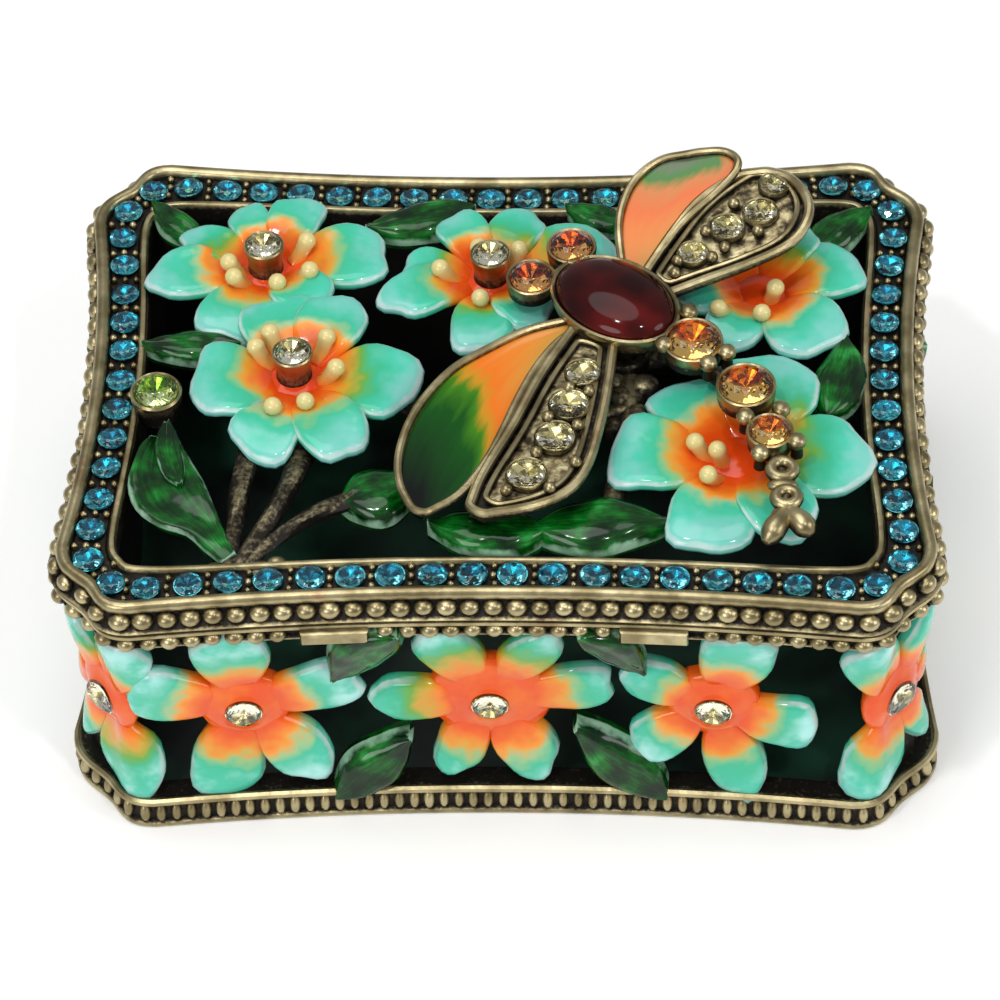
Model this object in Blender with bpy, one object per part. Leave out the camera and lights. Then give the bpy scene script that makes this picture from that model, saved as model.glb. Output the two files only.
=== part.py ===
"""Cast metal trinket box with an openwork lid, enamel flowers, set stones and a dragonfly.

Metres, +Z up. The box stands on its flat underside with its middle over the origin.
Its length runs along X and its front faces -Y. Places on the lid are plan points, and
places on the walls are the distance along the plan outline and the height.
"""
import math

import bmesh
import bpy
from mathutils import Matrix, Vector
from mathutils.geometry import interpolate_bezier

MM = 0.001

# Plan of the box, taken along the ridge of the outer rail of the lid
HALF_LENGTH = 33.0 * MM
HALF_DEPTH = 23.0 * MM
END_SAG = 1.3 * MM
FRONT_SAG = 1.55 * MM
END_LOBE = 6.0 * MM
FRONT_LOBE = 5.4 * MM
NOTCH_DEPTH = 2.35 * MM
LOBE_HANDLE = 2.4 * MM
NOTCH_HANDLE = 1.25 * MM
SAG_STEPS = 2
CORNER_STEPS = 3

# Heights of the box and the gap that separate pieces keep
FIT_GAP = 0.3 * MM
FLOOR_THICKNESS = 1.6 * MM
FOOT_HEIGHT = 3.3 * MM
WALL_HEIGHT = 18.4 * MM
BAND_HEIGHT = 2.0 * MM
LID_HEIGHT = 2.5 * MM

# Walls and the beaded edges, measured outwards from the plan line
WALL_THICKNESS = 1.5 * MM
WALL_FLARE = 0.55 * MM
WAIST_IN = 0.7 * MM
FOOT_OUT = 1.6 * MM
BEAD_OUT = 1.45 * MM

RIM_HEIGHT = 0.9 * MM
EDGE_ROUNDING = 0.4 * MM
PAD_STATION = 12.1 * MM
PAD_LENGTH = 5.2 * MM
PAD_PROUD = 0.2 * MM

# Rails and stone channel of the lid
RAIL_WIDTH = 0.9 * MM
RAIL_SPACING = 3.35 * MM
CHANNEL_DEPTH = 0.8 * MM
INNER_RAIL_DROP = 0.3 * MM
LIP_DEPTH = 1.2 * MM
LIP_THICKNESS = 0.9 * MM
PANEL_DEPTH = 1.9 * MM

# Stones
CHANNEL_STONES = 66
CHANNEL_STONE_ACROSS = 2.1 * MM
CHANNEL_STONE_SINK = 0.3 * MM
CHANNEL_STONE_RISE = 0.5 * MM
CHANNEL_STONE_TABLE = 0.75
CHANNEL_STONE_SIDES = 4
FLOWER_STONE_ACROSS = 2.8 * MM
FLOWER_STONE_HEIGHT = 0.9 * MM
STONE_SIDES = 8
SMALL_STONE_SIDES = 6
CUP_WALL = 0.35 * MM

# Size of the drawing that the flowers, leaves and dragonfly are placed on, in squares: half the
# lid's panel, the outline from the front's middle to a corner and to an end's middle, the wall
DRAWN_PANEL_LENGTH = 29.2
DRAWN_PANEL_DEPTH = 19.2
DRAWN_CORNER = 31.75
DRAWN_SIDE = 53.35
DRAWN_FOOT = 3.3
DRAWN_WALL = 18.4
DRAWN_CABOCHON = 10.4

# Worked out from the sizes above
BAND_BASE = FOOT_HEIGHT + WALL_HEIGHT
BODY_TOP = BAND_BASE + BAND_HEIGHT
LID_SEAT = BODY_TOP + FIT_GAP
LID_TOP = LID_SEAT + LID_HEIGHT
CHANNEL_FLOOR = LID_TOP - CHANNEL_DEPTH
INNER_RAIL_TOP = LID_TOP - INNER_RAIL_DROP
PANEL_UNDER = LID_TOP - PANEL_DEPTH
MOUTH_OUT = WALL_FLARE - WALL_THICKNESS
HALF_RAIL = RAIL_WIDTH / 2
INNER_RAIL_IN = -RAIL_SPACING - HALF_RAIL
LENGTH_SQUARE = (HALF_LENGTH + INNER_RAIL_IN) / DRAWN_PANEL_LENGTH
DEPTH_SQUARE = (HALF_DEPTH + INNER_RAIL_IN) / DRAWN_PANEL_DEPTH
WALL_SQUARE = WALL_HEIGHT / DRAWN_WALL


def make_material(name, colour, roughness, metallic):
    material = bpy.data.materials.new(name)
    material.use_nodes = True
    shader = material.node_tree.nodes["Principled BSDF"]
    shader.inputs["Base Color"].default_value = (*colour, 1.0)
    shader.inputs["Roughness"].default_value = roughness
    shader.inputs["Metallic"].default_value = metallic
    return material


for old_object in list(bpy.data.objects):
    bpy.data.objects.remove(old_object)
box_pieces = bpy.data.collections.new("enamel_trinket_box")
joined_shapes = bpy.data.collections.new("shapes_joined_into_castings")
bpy.context.scene.collection.children.link(box_pieces)
bpy.context.scene.collection.children.link(joined_shapes)

cast_brass = make_material("antique_brass", (0.46, 0.38, 0.20), 0.38, 1.0)
clear_crystal = make_material("clear_crystal", (0.85, 0.84, 0.75), 0.05, 0.0)
amber_crystal = make_material("amber_crystal", (0.78, 0.32, 0.02), 0.05, 0.0)
brown_crystal = make_material("brown_crystal", (0.50, 0.12, 0.01), 0.05, 0.0)
green_crystal = make_material("green_crystal", (0.25, 0.50, 0.03), 0.05, 0.0)
garnet_enamel = make_material("garnet_enamel", (0.10, 0.01, 0.01), 0.08, 0.0)


def add_piece(name, mesh, material, joined=False):
    piece = bpy.data.objects.new(name, mesh)
    mesh.materials.append(material)
    if joined:
        joined_shapes.objects.link(piece)
        piece.display_type = "WIRE"
        piece.hide_render = True
    else:
        box_pieces.objects.link(piece)
    return piece


def finish_mesh(name, shape):
    bmesh.ops.recalc_face_normals(shape, faces=shape.faces)
    mesh = bpy.data.meshes.new(name)
    shape.to_mesh(mesh)
    shape.free()
    mesh.shade_smooth()
    mesh.set_sharp_from_angle(angle=math.radians(40))
    return mesh


def join_shapes(casting, shapes):
    union = casting.modifiers.new("join_" + shapes.name, "BOOLEAN")
    union.operation = "UNION"
    union.solver = "EXACT"
    union.use_self = True
    union.object = shapes


# Plan outline

def sag_points(end, half_span, sag):
    """Points of a shallow arc from the middle of a side towards its end, as (along, out)."""
    points = []
    for step in range(SAG_STEPS):
        share = step / SAG_STEPS
        points.append((half_span * share, end - sag * (1 - share * share)))
    return points


def quarter_plan():
    """A quarter of the outline, from the middle of the right end to the middle of the back."""
    end_span = HALF_DEPTH - END_LOBE
    back_span = HALF_LENGTH - FRONT_LOBE
    points = [(Vector((out, along)), 0.0) for along, out in sag_points(HALF_LENGTH, end_span, END_SAG)]
    notch = Vector((HALF_LENGTH - NOTCH_DEPTH, HALF_DEPTH - NOTCH_DEPTH))
    slant = Vector((-1, 1)).normalized() * NOTCH_HANDLE
    end_start = Vector((HALF_LENGTH, end_span))
    back_start = Vector((back_span, HALF_DEPTH))
    corner = interpolate_bezier(
        end_start, end_start + Vector((0, LOBE_HANDLE)), notch - slant, notch, CORNER_STEPS + 1)
    corner += interpolate_bezier(
        notch, notch + slant, back_start + Vector((LOBE_HANDLE, 0)), back_start, CORNER_STEPS + 1)[1:]
    last = len(corner) - 1
    points += [(Vector(point), math.pi / 2 * place / last) for place, point in enumerate(corner)]
    back_points = sag_points(HALF_DEPTH, back_span, FRONT_SAG)
    back = [(Vector((along, out)), math.pi / 2) for along, out in back_points]
    return points + back[::-1]


def whole_plan():
    """The closed outline, anticlockwise from the middle of the front, with outward directions."""
    quarter = quarter_plan()
    loop = []
    for mirror_x, mirror_y, backwards in ((1, -1, True), (1, 1, False), (-1, 1, True), (-1, -1, False)):
        part = quarter[::-1] if backwards else quarter
        for point, angle in part[:-1]:
            direction = Vector((mirror_x * math.cos(angle), mirror_y * math.sin(angle)))
            loop.append((Vector((mirror_x * point.x, mirror_y * point.y)), direction))
    return loop


plan = whole_plan()
plan_distances = [0.0]
for (start, _), (end, _) in zip(plan, plan[1:] + plan[:1]):
    plan_distances.append(plan_distances[-1] + (end - start).length)
PERIMETER = plan_distances[-1]
SIDE_STATION = PERIMETER / 4
CORNER_STATION = plan_distances[SAG_STEPS + CORNER_STEPS]


def plan_at(along):
    """Point and outward direction at a distance along the outline from the middle of the front."""
    along %= PERIMETER
    for index, (start, end) in enumerate(zip(plan_distances, plan_distances[1:])):
        if along <= end:
            break
    share = (along - start) / (end - start)
    first, second = plan[index], plan[(index + 1) % len(plan)]
    return first[0].lerp(second[0], share), first[1].lerp(second[1], share).normalized()


def wall_out(height):
    """How far the waisted wall stands out from the plan line at a height."""
    middle = FOOT_HEIGHT + WALL_HEIGHT / 2
    share = (height - middle) / (WALL_HEIGHT / 2)
    return (WALL_FLARE + WAIST_IN) * share * share - WAIST_IN


def on_wall(along, height, out):
    point, direction = plan_at(along)
    place = point + direction * (wall_out(height) + out)
    return Vector((place.x, place.y, height))


def on_rail(along, height, out):
    point, direction = plan_at(along)
    place = point + direction * out
    return Vector((place.x, place.y, height))


def stretched(drawn):
    """Distance along the outline for a drawn one, so that each form keeps to its own side."""
    half_turns = round(drawn / (2 * DRAWN_SIDE))
    rest = drawn - half_turns * 2 * DRAWN_SIDE
    reach = abs(rest)
    if reach < DRAWN_CORNER:
        real = CORNER_STATION * reach / DRAWN_CORNER
    else:
        share = (reach - DRAWN_CORNER) / (DRAWN_SIDE - DRAWN_CORNER)
        real = CORNER_STATION + (SIDE_STATION - CORNER_STATION) * share
    return half_turns * 2 * SIDE_STATION + math.copysign(real, rest)


def risen(drawn):
    """Height on the wall for a drawn one."""
    return FOOT_HEIGHT + (drawn - DRAWN_FOOT) * WALL_SQUARE


def panel_point(drawn):
    return Vector((drawn[0] * LENGTH_SQUARE, drawn[1] * DEPTH_SQUARE))


def ring(shape, out, height):
    corners = []
    for point, direction in plan:
        place = point + direction * out
        corners.append(shape.verts.new((place.x, place.y, height)))
    return corners


def bridge(shape, lower, upper):
    for index, corner in enumerate(lower):
        after = (index + 1) % len(lower)
        shape.faces.new((corner, lower[after], upper[after], upper[index]))


def rail_loop(name, section):
    """A closed band that follows the outline, from its section as (out, height) pairs."""
    shape = bmesh.new()
    rings = [ring(shape, out, height) for out, height in section]
    for lower, upper in zip(rings, rings[1:] + rings[:1]):
        bridge(shape, lower, upper)
    return finish_mesh(name, shape)


def tray(name, section):
    """A foot with a floor: the section runs from the underside out, up, in and down to the floor."""
    shape = bmesh.new()
    rings = [ring(shape, out, height) for out, height in section]
    for lower, upper in zip(rings, rings[1:]):
        bridge(shape, lower, upper)
    shape.faces.new(rings[0])
    shape.faces.new(rings[-1])
    return finish_mesh(name, shape)


# Flowers, leaves and stems

PETAL_REST = 0.52
CROWN_REACH = 0.64
VALLEY_REACH = 0.36
COLLAR_WALL = 0.25 * MM
COLLAR_TOP = FLOWER_STONE_ACROSS / 2 + COLLAR_WALL
RIM_SHARES = (-0.72, 0.0, 0.72)
LEAF_SHOULDERS = (0.3, 0.68)
LEAF_FULLNESS = 0.85


def add_flower(shape, place, petals, back, edge, crown, cup, collar):
    """A many petalled flower with a stone collar, as one closed form.

    place turns (right, up, out) into a point, with right and up as drawn. Each petal is
    (degrees, reach). The other values are how far out its back, rim, petal crowns, hollow
    middle and collar top stand.
    """
    petals = sorted(petals)
    turns = [math.radians(angle) for angle, _ in petals]
    reaches = [reach for _, reach in petals]
    count = len(petals)
    gaps = []
    for index in range(count):
        before = turns[index - 1] - (2 * math.pi if index == 0 else 0)
        gaps.append((before + turns[index]) / 2)

    def at(angle, reach, out):
        return shape.verts.new(place(reach * math.cos(angle), reach * math.sin(angle), out))

    back_rim, rim, middle, top = [], [], [], []
    for index in range(count):
        gap_before = gaps[index]
        gap_after = gaps[(index + 1) % count] + (2 * math.pi if index == count - 1 else 0)
        rest = PETAL_REST * min(reaches[index], reaches[index - 1])
        places = [(gap_before, rest)]
        for share in RIM_SHARES:
            side = gap_after if share > 0 else gap_before
            swell = math.sqrt(1 - abs(share) ** 3)
            angle = turns[index] + abs(share) * (side - turns[index])
            places.append((angle, reaches[index] * (PETAL_REST + (1 - PETAL_REST) * swell)))
        back_rim += [at(angle, reach, back) for angle, reach in places]
        rim.append([at(angle, reach, edge) for angle, reach in places])
        middle.append((at(gap_before, VALLEY_REACH * reaches[index], cup),
                       at(turns[index], CROWN_REACH * reaches[index], crown)))
        top += [at(gap_before, COLLAR_TOP / MM, collar), at(turns[index], COLLAR_TOP / MM, collar)]

    around = [corner for petal in rim for corner in petal]
    bridge(shape, back_rim, around)
    shape.faces.new(back_rim)
    inner = []
    for index in range(count):
        valley, peak = middle[index]
        next_valley = middle[(index + 1) % count][0]
        rest, first, second, third = rim[index]
        next_rest = rim[(index + 1) % count][0]
        shape.faces.new((valley, rest, first))
        shape.faces.new((valley, first, peak))
        shape.faces.new((peak, first, second))
        shape.faces.new((peak, second, third))
        shape.faces.new((peak, third, next_valley))
        shape.faces.new((next_valley, third, next_rest))
        inner += [valley, peak]
    bridge(shape, inner, top)
    shape.faces.new(top)


def add_leaf(shape, place, base, tip, width, back, edge, rib):
    """A pointed leaf with a raised rib; base and tip are (right, up) as drawn."""
    start, end = Vector(base), Vector(tip)
    along = end - start
    across = Vector((-along.y, along.x)).normalized() * width * LEAF_FULLNESS / 2
    lower, upper = (start.lerp(end, share) for share in LEAF_SHOULDERS)
    outline = [start, lower - across, upper - across, end, upper + across, lower + across]
    under = [shape.verts.new(place(point.x, point.y, back)) for point in outline]
    over = [shape.verts.new(place(point.x, point.y, edge)) for point in outline]
    ribs = [shape.verts.new(place(point.x, point.y, rib)) for point in (lower, upper)]
    bridge(shape, under, over)
    shape.faces.new(under)
    shape.faces.new((over[0], over[1], ribs[0]))
    shape.faces.new((over[1], over[2], ribs[1], ribs[0]))
    shape.faces.new((over[2], over[3], ribs[1]))
    shape.faces.new((over[3], over[4], ribs[1]))
    shape.faces.new((over[4], over[5], ribs[0], ribs[1]))
    shape.faces.new((over[5], over[0], ribs[0]))


def add_stem(shape, points, radius):
    """A round stem through points, as a bevelled curve turned into a mesh."""
    curve = bpy.data.curves.new("stem", "CURVE")
    curve.dimensions = "3D"
    curve.fill_mode = "FULL"
    curve.bevel_depth = radius
    curve.bevel_resolution = 1
    curve.use_fill_caps = True
    spline = curve.splines.new("POLY")
    spline.points.add(len(points) - 1)
    for spline_point, point in zip(spline.points, points):
        spline_point.co = (*point, 1.0)
    guide = bpy.data.objects.new("stem", curve)
    joined_shapes.objects.link(guide)
    tube = bpy.data.meshes.new_from_object(guide.evaluated_get(bpy.context.evaluated_depsgraph_get()))
    bpy.data.objects.remove(guide)
    welded = bmesh.new()
    welded.from_mesh(tube)
    bmesh.ops.remove_doubles(welded, verts=welded.verts, dist=MM / 100)
    welded.to_mesh(tube)
    welded.free()
    shape.from_mesh(tube)


def add_turned(shape, centre, profile, sides, squash=1.0, turn=0.0):
    """A round or oval form on an upright axis, from (radius, height) pairs, closed at both ends."""
    rings = []
    for radius, height in profile:
        corners = []
        for index in range(sides):
            angle = 2 * math.pi * index / sides
            point = Vector((radius * math.cos(angle), radius * squash * math.sin(angle)))
            point.rotate(Matrix.Rotation(turn, 2))
            corners.append(shape.verts.new((centre.x + point.x, centre.y + point.y, height)))
        rings.append(corners)
    for lower, upper in zip(rings, rings[1:]):
        bridge(shape, lower, upper)
    shape.faces.new(rings[0])
    shape.faces.new(rings[-1])


# Box body: foot with the floor, beaded top band, and openwork walls between them

FLOWER_BACK = -1.3 * MM
FLOWER_EDGE = 0.1 * MM
FLOWER_CROWN = 0.8 * MM
FLOWER_CUP = -0.2 * MM
FLOWER_COLLAR = 0.9 * MM
LEAF_BACK = -1.0 * MM
LEAF_EDGE = 0.2 * MM
LEAF_RIB = 0.8 * MM
CORNER_PETALS = ((113, 9.3), (60, 9.2), (3, 8.0), (-58, 9.6), (-108, 10.4))
MIDDLE_PETALS = ((117, 10.2), (60, 10.2), (182, 9.3), (8, 9.9), (247, 9.4), (294, 9.8))
LEFT_PETALS = ((96, 9.9), (14, 9.6), (-56, 10.4), (255, 10.6), (166, 10.0))
SIDE_PETALS = ((72, 9.8), (155, 7.9), (226, 8.9), (284, 11.0), (-22, 8.8))
END_PETALS = ((90, 9.9), (20, 8.8), (-52, 10.2), (-128, 10.2), (160, 8.8))
FLOWER_LEVEL = 12.6

# Inner wall that closes the ends and the back behind their flowers
GROUND_OUT = -0.72 * MM
GROUND_THICKNESS = 0.7 * MM
GROUND_LEVELS = 2

foot_rows = [
    (FOOT_OUT - EDGE_ROUNDING, 0.0), (FOOT_OUT, RIM_HEIGHT), (FOOT_OUT, FOOT_HEIGHT - RIM_HEIGHT),
    (WALL_FLARE + EDGE_ROUNDING, FOOT_HEIGHT - EDGE_ROUNDING), (WALL_FLARE, FOOT_HEIGHT),
    (MOUTH_OUT, FOOT_HEIGHT), (MOUTH_OUT, FLOOR_THICKNESS)]
band_rows = [
    (WALL_FLARE, BAND_BASE), (BEAD_OUT, BAND_BASE + BAND_HEIGHT / 2), (BEAD_OUT - EDGE_ROUNDING, BODY_TOP),
    (MOUTH_OUT, BODY_TOP), (MOUTH_OUT, BAND_BASE)]


def wall_place(station, level):
    return lambda right, up, out: on_wall(stretched(station + right), risen(level + up), out)


def mirrored(petals):
    return tuple((180 - angle, reach) for angle, reach in petals)


def add_pad(shape, station):
    """A plain flat pad that stands between two runs of beads on the top band."""
    corners = []
    for out in (BEAD_OUT - EDGE_ROUNDING, BEAD_OUT + PAD_PROUD):
        for end in (station - PAD_LENGTH / 2, station + PAD_LENGTH / 2):
            for level in (BAND_BASE + EDGE_ROUNDING, BODY_TOP - EDGE_ROUNDING):
                corners.append(shape.verts.new(on_rail(end, level, out)))
    bmesh.ops.convex_hull(shape, input=corners)


def add_ground(shape):
    """A closed strip from corner to corner round the ends and the back."""
    first_corner = SAG_STEPS + CORNER_STEPS
    stations = plan_distances[first_corner:len(plan) - first_corner + 1:2]
    low, high = FOOT_HEIGHT - FIT_GAP, BAND_BASE + FIT_GAP
    heights = [low + (high - low) * level / GROUND_LEVELS for level in range(GROUND_LEVELS + 1)]
    loops = []
    for along in stations:
        outer = [shape.verts.new(on_wall(along, height, GROUND_OUT)) for height in heights]
        inner = [shape.verts.new(on_wall(along, height, GROUND_OUT - GROUND_THICKNESS)) for height in heights]
        loops.append(outer + inner[::-1])
    for first, second in zip(loops, loops[1:]):
        bridge(shape, first, second)
    shape.faces.new(loops[0])
    shape.faces.new(loops[-1])


# Flowers of the walls as (place along the outline, petals). The back is more even than the front.
FRONT_FLOWERS = ((-0.7, MIDDLE_PETALS), (16.6, SIDE_PETALS), (-19.8, LEFT_PETALS))
BACK_FLOWERS = ((0.0, END_PETALS), (17.9, SIDE_PETALS), (-17.9, mirrored(SIDE_PETALS)))
SHARED_FLOWERS = ((DRAWN_CORNER, CORNER_PETALS), (-DRAWN_CORNER, mirrored(CORNER_PETALS)),
                  (DRAWN_SIDE, END_PETALS))
wall_flowers = [(station, petals) for station, petals in FRONT_FLOWERS + SHARED_FLOWERS]
wall_flowers += [(2 * DRAWN_SIDE + station, petals) for station, petals in BACK_FLOWERS + SHARED_FLOWERS]

# Leaves between the wall flowers, as (along, level) of the base and the tip, and the width
FRONT_LEAVES = (((-7.3, 22.5), (-12.8, 15.9), 5.0), ((-13.2, 2.6), (-7.0, 8.4), 4.4),
                ((6.4, 22.5), (11.4, 16.9), 4.0), ((13.0, 2.6), (5.8, 9.4), 4.6))
BACK_LEAVES = (((7.6, 22.4), (10.4, 15.6), 4.4), ((11.9, 2.4), (7.6, 9.4), 3.4),
               ((-7.6, 22.4), (-10.4, 15.6), 4.4), ((-11.9, 2.4), (-7.6, 9.4), 3.4))
END_LEAVES = (((6.8, 22.4), (8.8, 15.2), 4.0), ((-6.8, 22.4), (-8.8, 15.2), 4.0))
wall_leaves = ((0.0, FRONT_LEAVES), (DRAWN_SIDE, END_LEAVES), (2 * DRAWN_SIDE, BACK_LEAVES),
               (3 * DRAWN_SIDE, END_LEAVES))

openwork = bmesh.new()
for station, petals in wall_flowers:
    add_flower(openwork, wall_place(station, FLOWER_LEVEL), petals,
               FLOWER_BACK, FLOWER_EDGE, FLOWER_CROWN, FLOWER_CUP, FLOWER_COLLAR)
for station, leaves in wall_leaves:
    for base, tip, width in leaves:
        add_leaf(openwork, wall_place(station, 0.0), base, tip, width, LEAF_BACK, LEAF_EDGE, LEAF_RIB)
for side in (-1, 1):
    add_pad(openwork, side * PAD_STATION)
add_ground(openwork)

box_body = add_piece("box_body", tray("box_body", foot_rows), cast_brass)
top_band = add_piece("top_band", rail_loop("top_band", band_rows), cast_brass, joined=True)
wall_openwork = add_piece("wall_openwork", finish_mesh("wall_openwork", openwork), cast_brass, joined=True)
join_shapes(box_body, top_band)
join_shapes(box_body, wall_openwork)


# Lid: outer rail, stone channel, inner rail and the lip that drops into the box

SEAT_OUT = BEAD_OUT - EDGE_ROUNDING
BEAD_RISE = 1.0 * MM
BEAD_LEVEL = LID_SEAT + BEAD_RISE
LIP_OUT = MOUTH_OUT - FIT_GAP
lid_rows = [
    (SEAT_OUT, LID_SEAT), (BEAD_OUT, BEAD_LEVEL), (SEAT_OUT, LID_TOP - RAIL_WIDTH),
    (HALF_RAIL, LID_TOP - CHANNEL_DEPTH), (0.0, LID_TOP), (-HALF_RAIL, LID_TOP - HALF_RAIL / 2),
    (-HALF_RAIL, CHANNEL_FLOOR), (HALF_RAIL - RAIL_SPACING, CHANNEL_FLOOR), (-RAIL_SPACING, INNER_RAIL_TOP),
    (INNER_RAIL_IN, INNER_RAIL_TOP - HALF_RAIL), (INNER_RAIL_IN, PANEL_UNDER),
    (LIP_OUT - LIP_THICKNESS, PANEL_UNDER), (LIP_OUT - LIP_THICKNESS, LID_SEAT - LIP_DEPTH),
    (LIP_OUT, LID_SEAT - LIP_DEPTH), (LIP_OUT, LID_SEAT)]

# Panel of flowers and leaves: how far its parts rise over the rail or the panel's underside
BACK_RISE = 0.3 * MM
PETAL_EDGE_RISE = 0.3 * MM
PETAL_CROWN_RISE = 1.0 * MM
COLLAR_RISE = 1.8 * MM
LOW_COLLAR_RISE = 0.5 * MM
LEAF_EDGE_DROP = 0.2 * MM
LEAF_RIB_RISE = 0.4 * MM
FRONT_FLOWER_LIFT = 0.5 * MM
LOW_FLOWER_LIFT = -0.1 * MM
STEM_RISE = 0.9 * MM
STEM_STAGGER = 0.06 * MM
STEM_RADIUS = 0.8 * MM
BRIDGE_RADIUS = 0.95 * MM
SEAT_RISE = 0.4 * MM

LID_BACK = PANEL_UNDER + BACK_RISE
PETAL_EDGE = LID_TOP + PETAL_EDGE_RISE
PETAL_CROWN = LID_TOP + PETAL_CROWN_RISE
PETAL_CUP = LID_TOP
PETAL_COLLAR = LID_TOP + COLLAR_RISE
LOW_COLLAR = LID_TOP + LOW_COLLAR_RISE
LID_LEAF_EDGE = LID_TOP - LEAF_EDGE_DROP
LID_LEAF_RIB = LID_TOP + LEAF_RIB_RISE
STEM_LEVEL = PANEL_UNDER + STEM_RISE

lid_flowers = {
    "back_left": ((-19.2, 11.9), 0.0, PETAL_COLLAR,
                  ((108, 7.0), (65, 7.8), (7, 10.0), (-47, 7.2), (249, 8.7), (192, 9.6), (154, 7.8))),
    "front_left": ((-16.2, -0.1), FRONT_FLOWER_LIFT, PETAL_COLLAR,
                   ((105, 8.4), (61, 8.6), (-9, 10.1), (-62, 10.2), (255, 9.4), (194, 8.2))),
    "back_middle": ((-1.1, 10.9), 0.0, PETAL_COLLAR,
                    ((68, 7.6), (119, 7.2), (171, 7.3), (202, 9.4), (264, 8.7), (304, 7.3), (13, 10.2))),
    "back_right": ((20.3, 9.4), 0.0, LOW_COLLAR,
                   ((16, 8.6), (62, 7.6), (124, 7.4), (188, 6.9), (246, 7.0), (-53, 8.7))),
    "front_right": ((18.4, -8.0), LOW_FLOWER_LIFT, LOW_COLLAR,
                    ((130, 9.0), (184, 10.1), (253, 10.3), (299, 9.8), (-4, 10.3), (69, 10.4)))}
lid_leaves = [
    ((-24.4, 14.6), (-28.9, 19.2), 2.8), ((-20.6, 3.6), (-28.6, 3.6), 3.4),
    ((-2.6, 18.6), (-11.4, 16.2), 4.4), ((10.0, 16.4), (4.6, 18.6), 3.2),
    ((24.3, 13.6), (29.3, 18.2), 3.8), ((25.4, -4.2), (27.0, 4.4), 4.4),
    ((4.0, -15.6), (-5.2, -14.9), 4.6), ((2.8, -15.4), (13.4, -14.8), 5.4),
    ((-12.0, -12.8), (-5.8, -10.6), 5.6), ((-20.6, -18.4), (-27.2, -5.0), 6.6)]
stems = [
    (((-20.2, -18.8), (-19.6, -12.5), (-19.2, -6.5)), STEM_RADIUS),
    (((-19.6, -18.8), (-17.0, -13.8), (-15.2, -7.5)), STEM_RADIUS),
    (((-19.0, -18.8), (-15.4, -15.0), (-10.9, -12.4)), STEM_RADIUS),
    (((1.5, 6.0), (9.5, 2.5), (16.0, 4.6)), BRIDGE_RADIUS),
    (((9.6, 3.0), (10.0, -3.5), (8.6, -14.0)), BRIDGE_RADIUS),
    (((-8.0, -2.0), (1.0, -4.4), (10.4, -2.8)), BRIDGE_RADIUS),
    (((-8.0, -11.2), (-1.5, -8.6), (1.2, -4.0)), BRIDGE_RADIUS)]
DRAWN_MOUNT = Vector((9.5, 2.5))
MOUNT_POINT = panel_point(DRAWN_MOUNT)
MOUNT_RADIUS = 2.2 * MM
MOUNT_TOP = LID_TOP + SEAT_RISE
PERIDOT_POINT = panel_point((-26.9, -2.2))
PERIDOT_ACROSS = 3.4 * MM
PERIDOT_SEAT = LID_TOP + SEAT_RISE


def panel_place(point, lift=0.0):
    def place(right, up, out):
        return Vector((*panel_point((point[0] + right, point[1] + up)), out + lift))
    return place


panel = bmesh.new()
for centre, lift, collar, petals in lid_flowers.values():
    add_flower(panel, panel_place(centre, lift), petals, LID_BACK, PETAL_EDGE, PETAL_CROWN, PETAL_CUP, collar)
for base, tip, width in lid_leaves:
    add_leaf(panel, panel_place((0, 0)), base, tip, width, LID_BACK, LID_LEAF_EDGE, LID_LEAF_RIB)
for count, (points, radius) in enumerate(stems):
    level = STEM_LEVEL + STEM_STAGGER * (count % 4)
    add_stem(panel, [(*panel_point(point), level) for point in points], radius)
add_turned(panel, MOUNT_POINT, ((MOUNT_RADIUS, LID_BACK), (MOUNT_RADIUS, MOUNT_TOP)), STONE_SIDES)
peridot_cup = PERIDOT_ACROSS / 2 + CUP_WALL
add_turned(panel, PERIDOT_POINT, ((peridot_cup, LID_BACK), (peridot_cup, PERIDOT_SEAT)), STONE_SIDES)

channel_stones = bmesh.new()
stone_radius = CHANNEL_STONE_ACROSS / 2
for count in range(CHANNEL_STONES):
    seat = on_rail(PERIMETER * (count + 0.5) / CHANNEL_STONES, 0, -RAIL_SPACING / 2)
    add_turned(channel_stones, seat, (
        (stone_radius, CHANNEL_FLOOR - CHANNEL_STONE_SINK),
        (stone_radius * CHANNEL_STONE_TABLE, CHANNEL_FLOOR + CHANNEL_STONE_RISE)), CHANNEL_STONE_SIDES)

lid = add_piece("lid", rail_loop("lid", lid_rows), cast_brass)
lid_panel = add_piece("lid_panel", finish_mesh("lid_panel", panel), cast_brass, joined=True)
stone_row = finish_mesh("channel_stones", channel_stones)
set_stones = add_piece("channel_stones", stone_row, cast_brass, joined=True)
join_shapes(lid, lid_panel)
join_shapes(lid, set_stones)


# Dragonfly: one casting with wings, stone cups and a forked tail, on a post above the lid

WING_THICKNESS = 0.9 * MM
WING_RIM = 0.6 * MM
WING_RIM_LIMIT = 0.35
WING_STEPS = 6
ENAMEL_SINK = 0.3 * MM
DRAGONFLY_RISE = 2.3 * MM
DRAGONFLY_BASE = LID_TOP + DRAGONFLY_RISE
CABOCHON_LENGTH = 10.4 * MM
CABOCHON_SQUASH = 0.72
CABOCHON_HEIGHT = 2.4 * MM
BODY_TURN = math.radians(-38)
BODY_SQUARE = CABOCHON_LENGTH / DRAWN_CABOCHON
CUP_DEPTH = 1.1 * MM
CUP_FLOOR = DRAGONFLY_BASE + CUP_DEPTH

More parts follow.
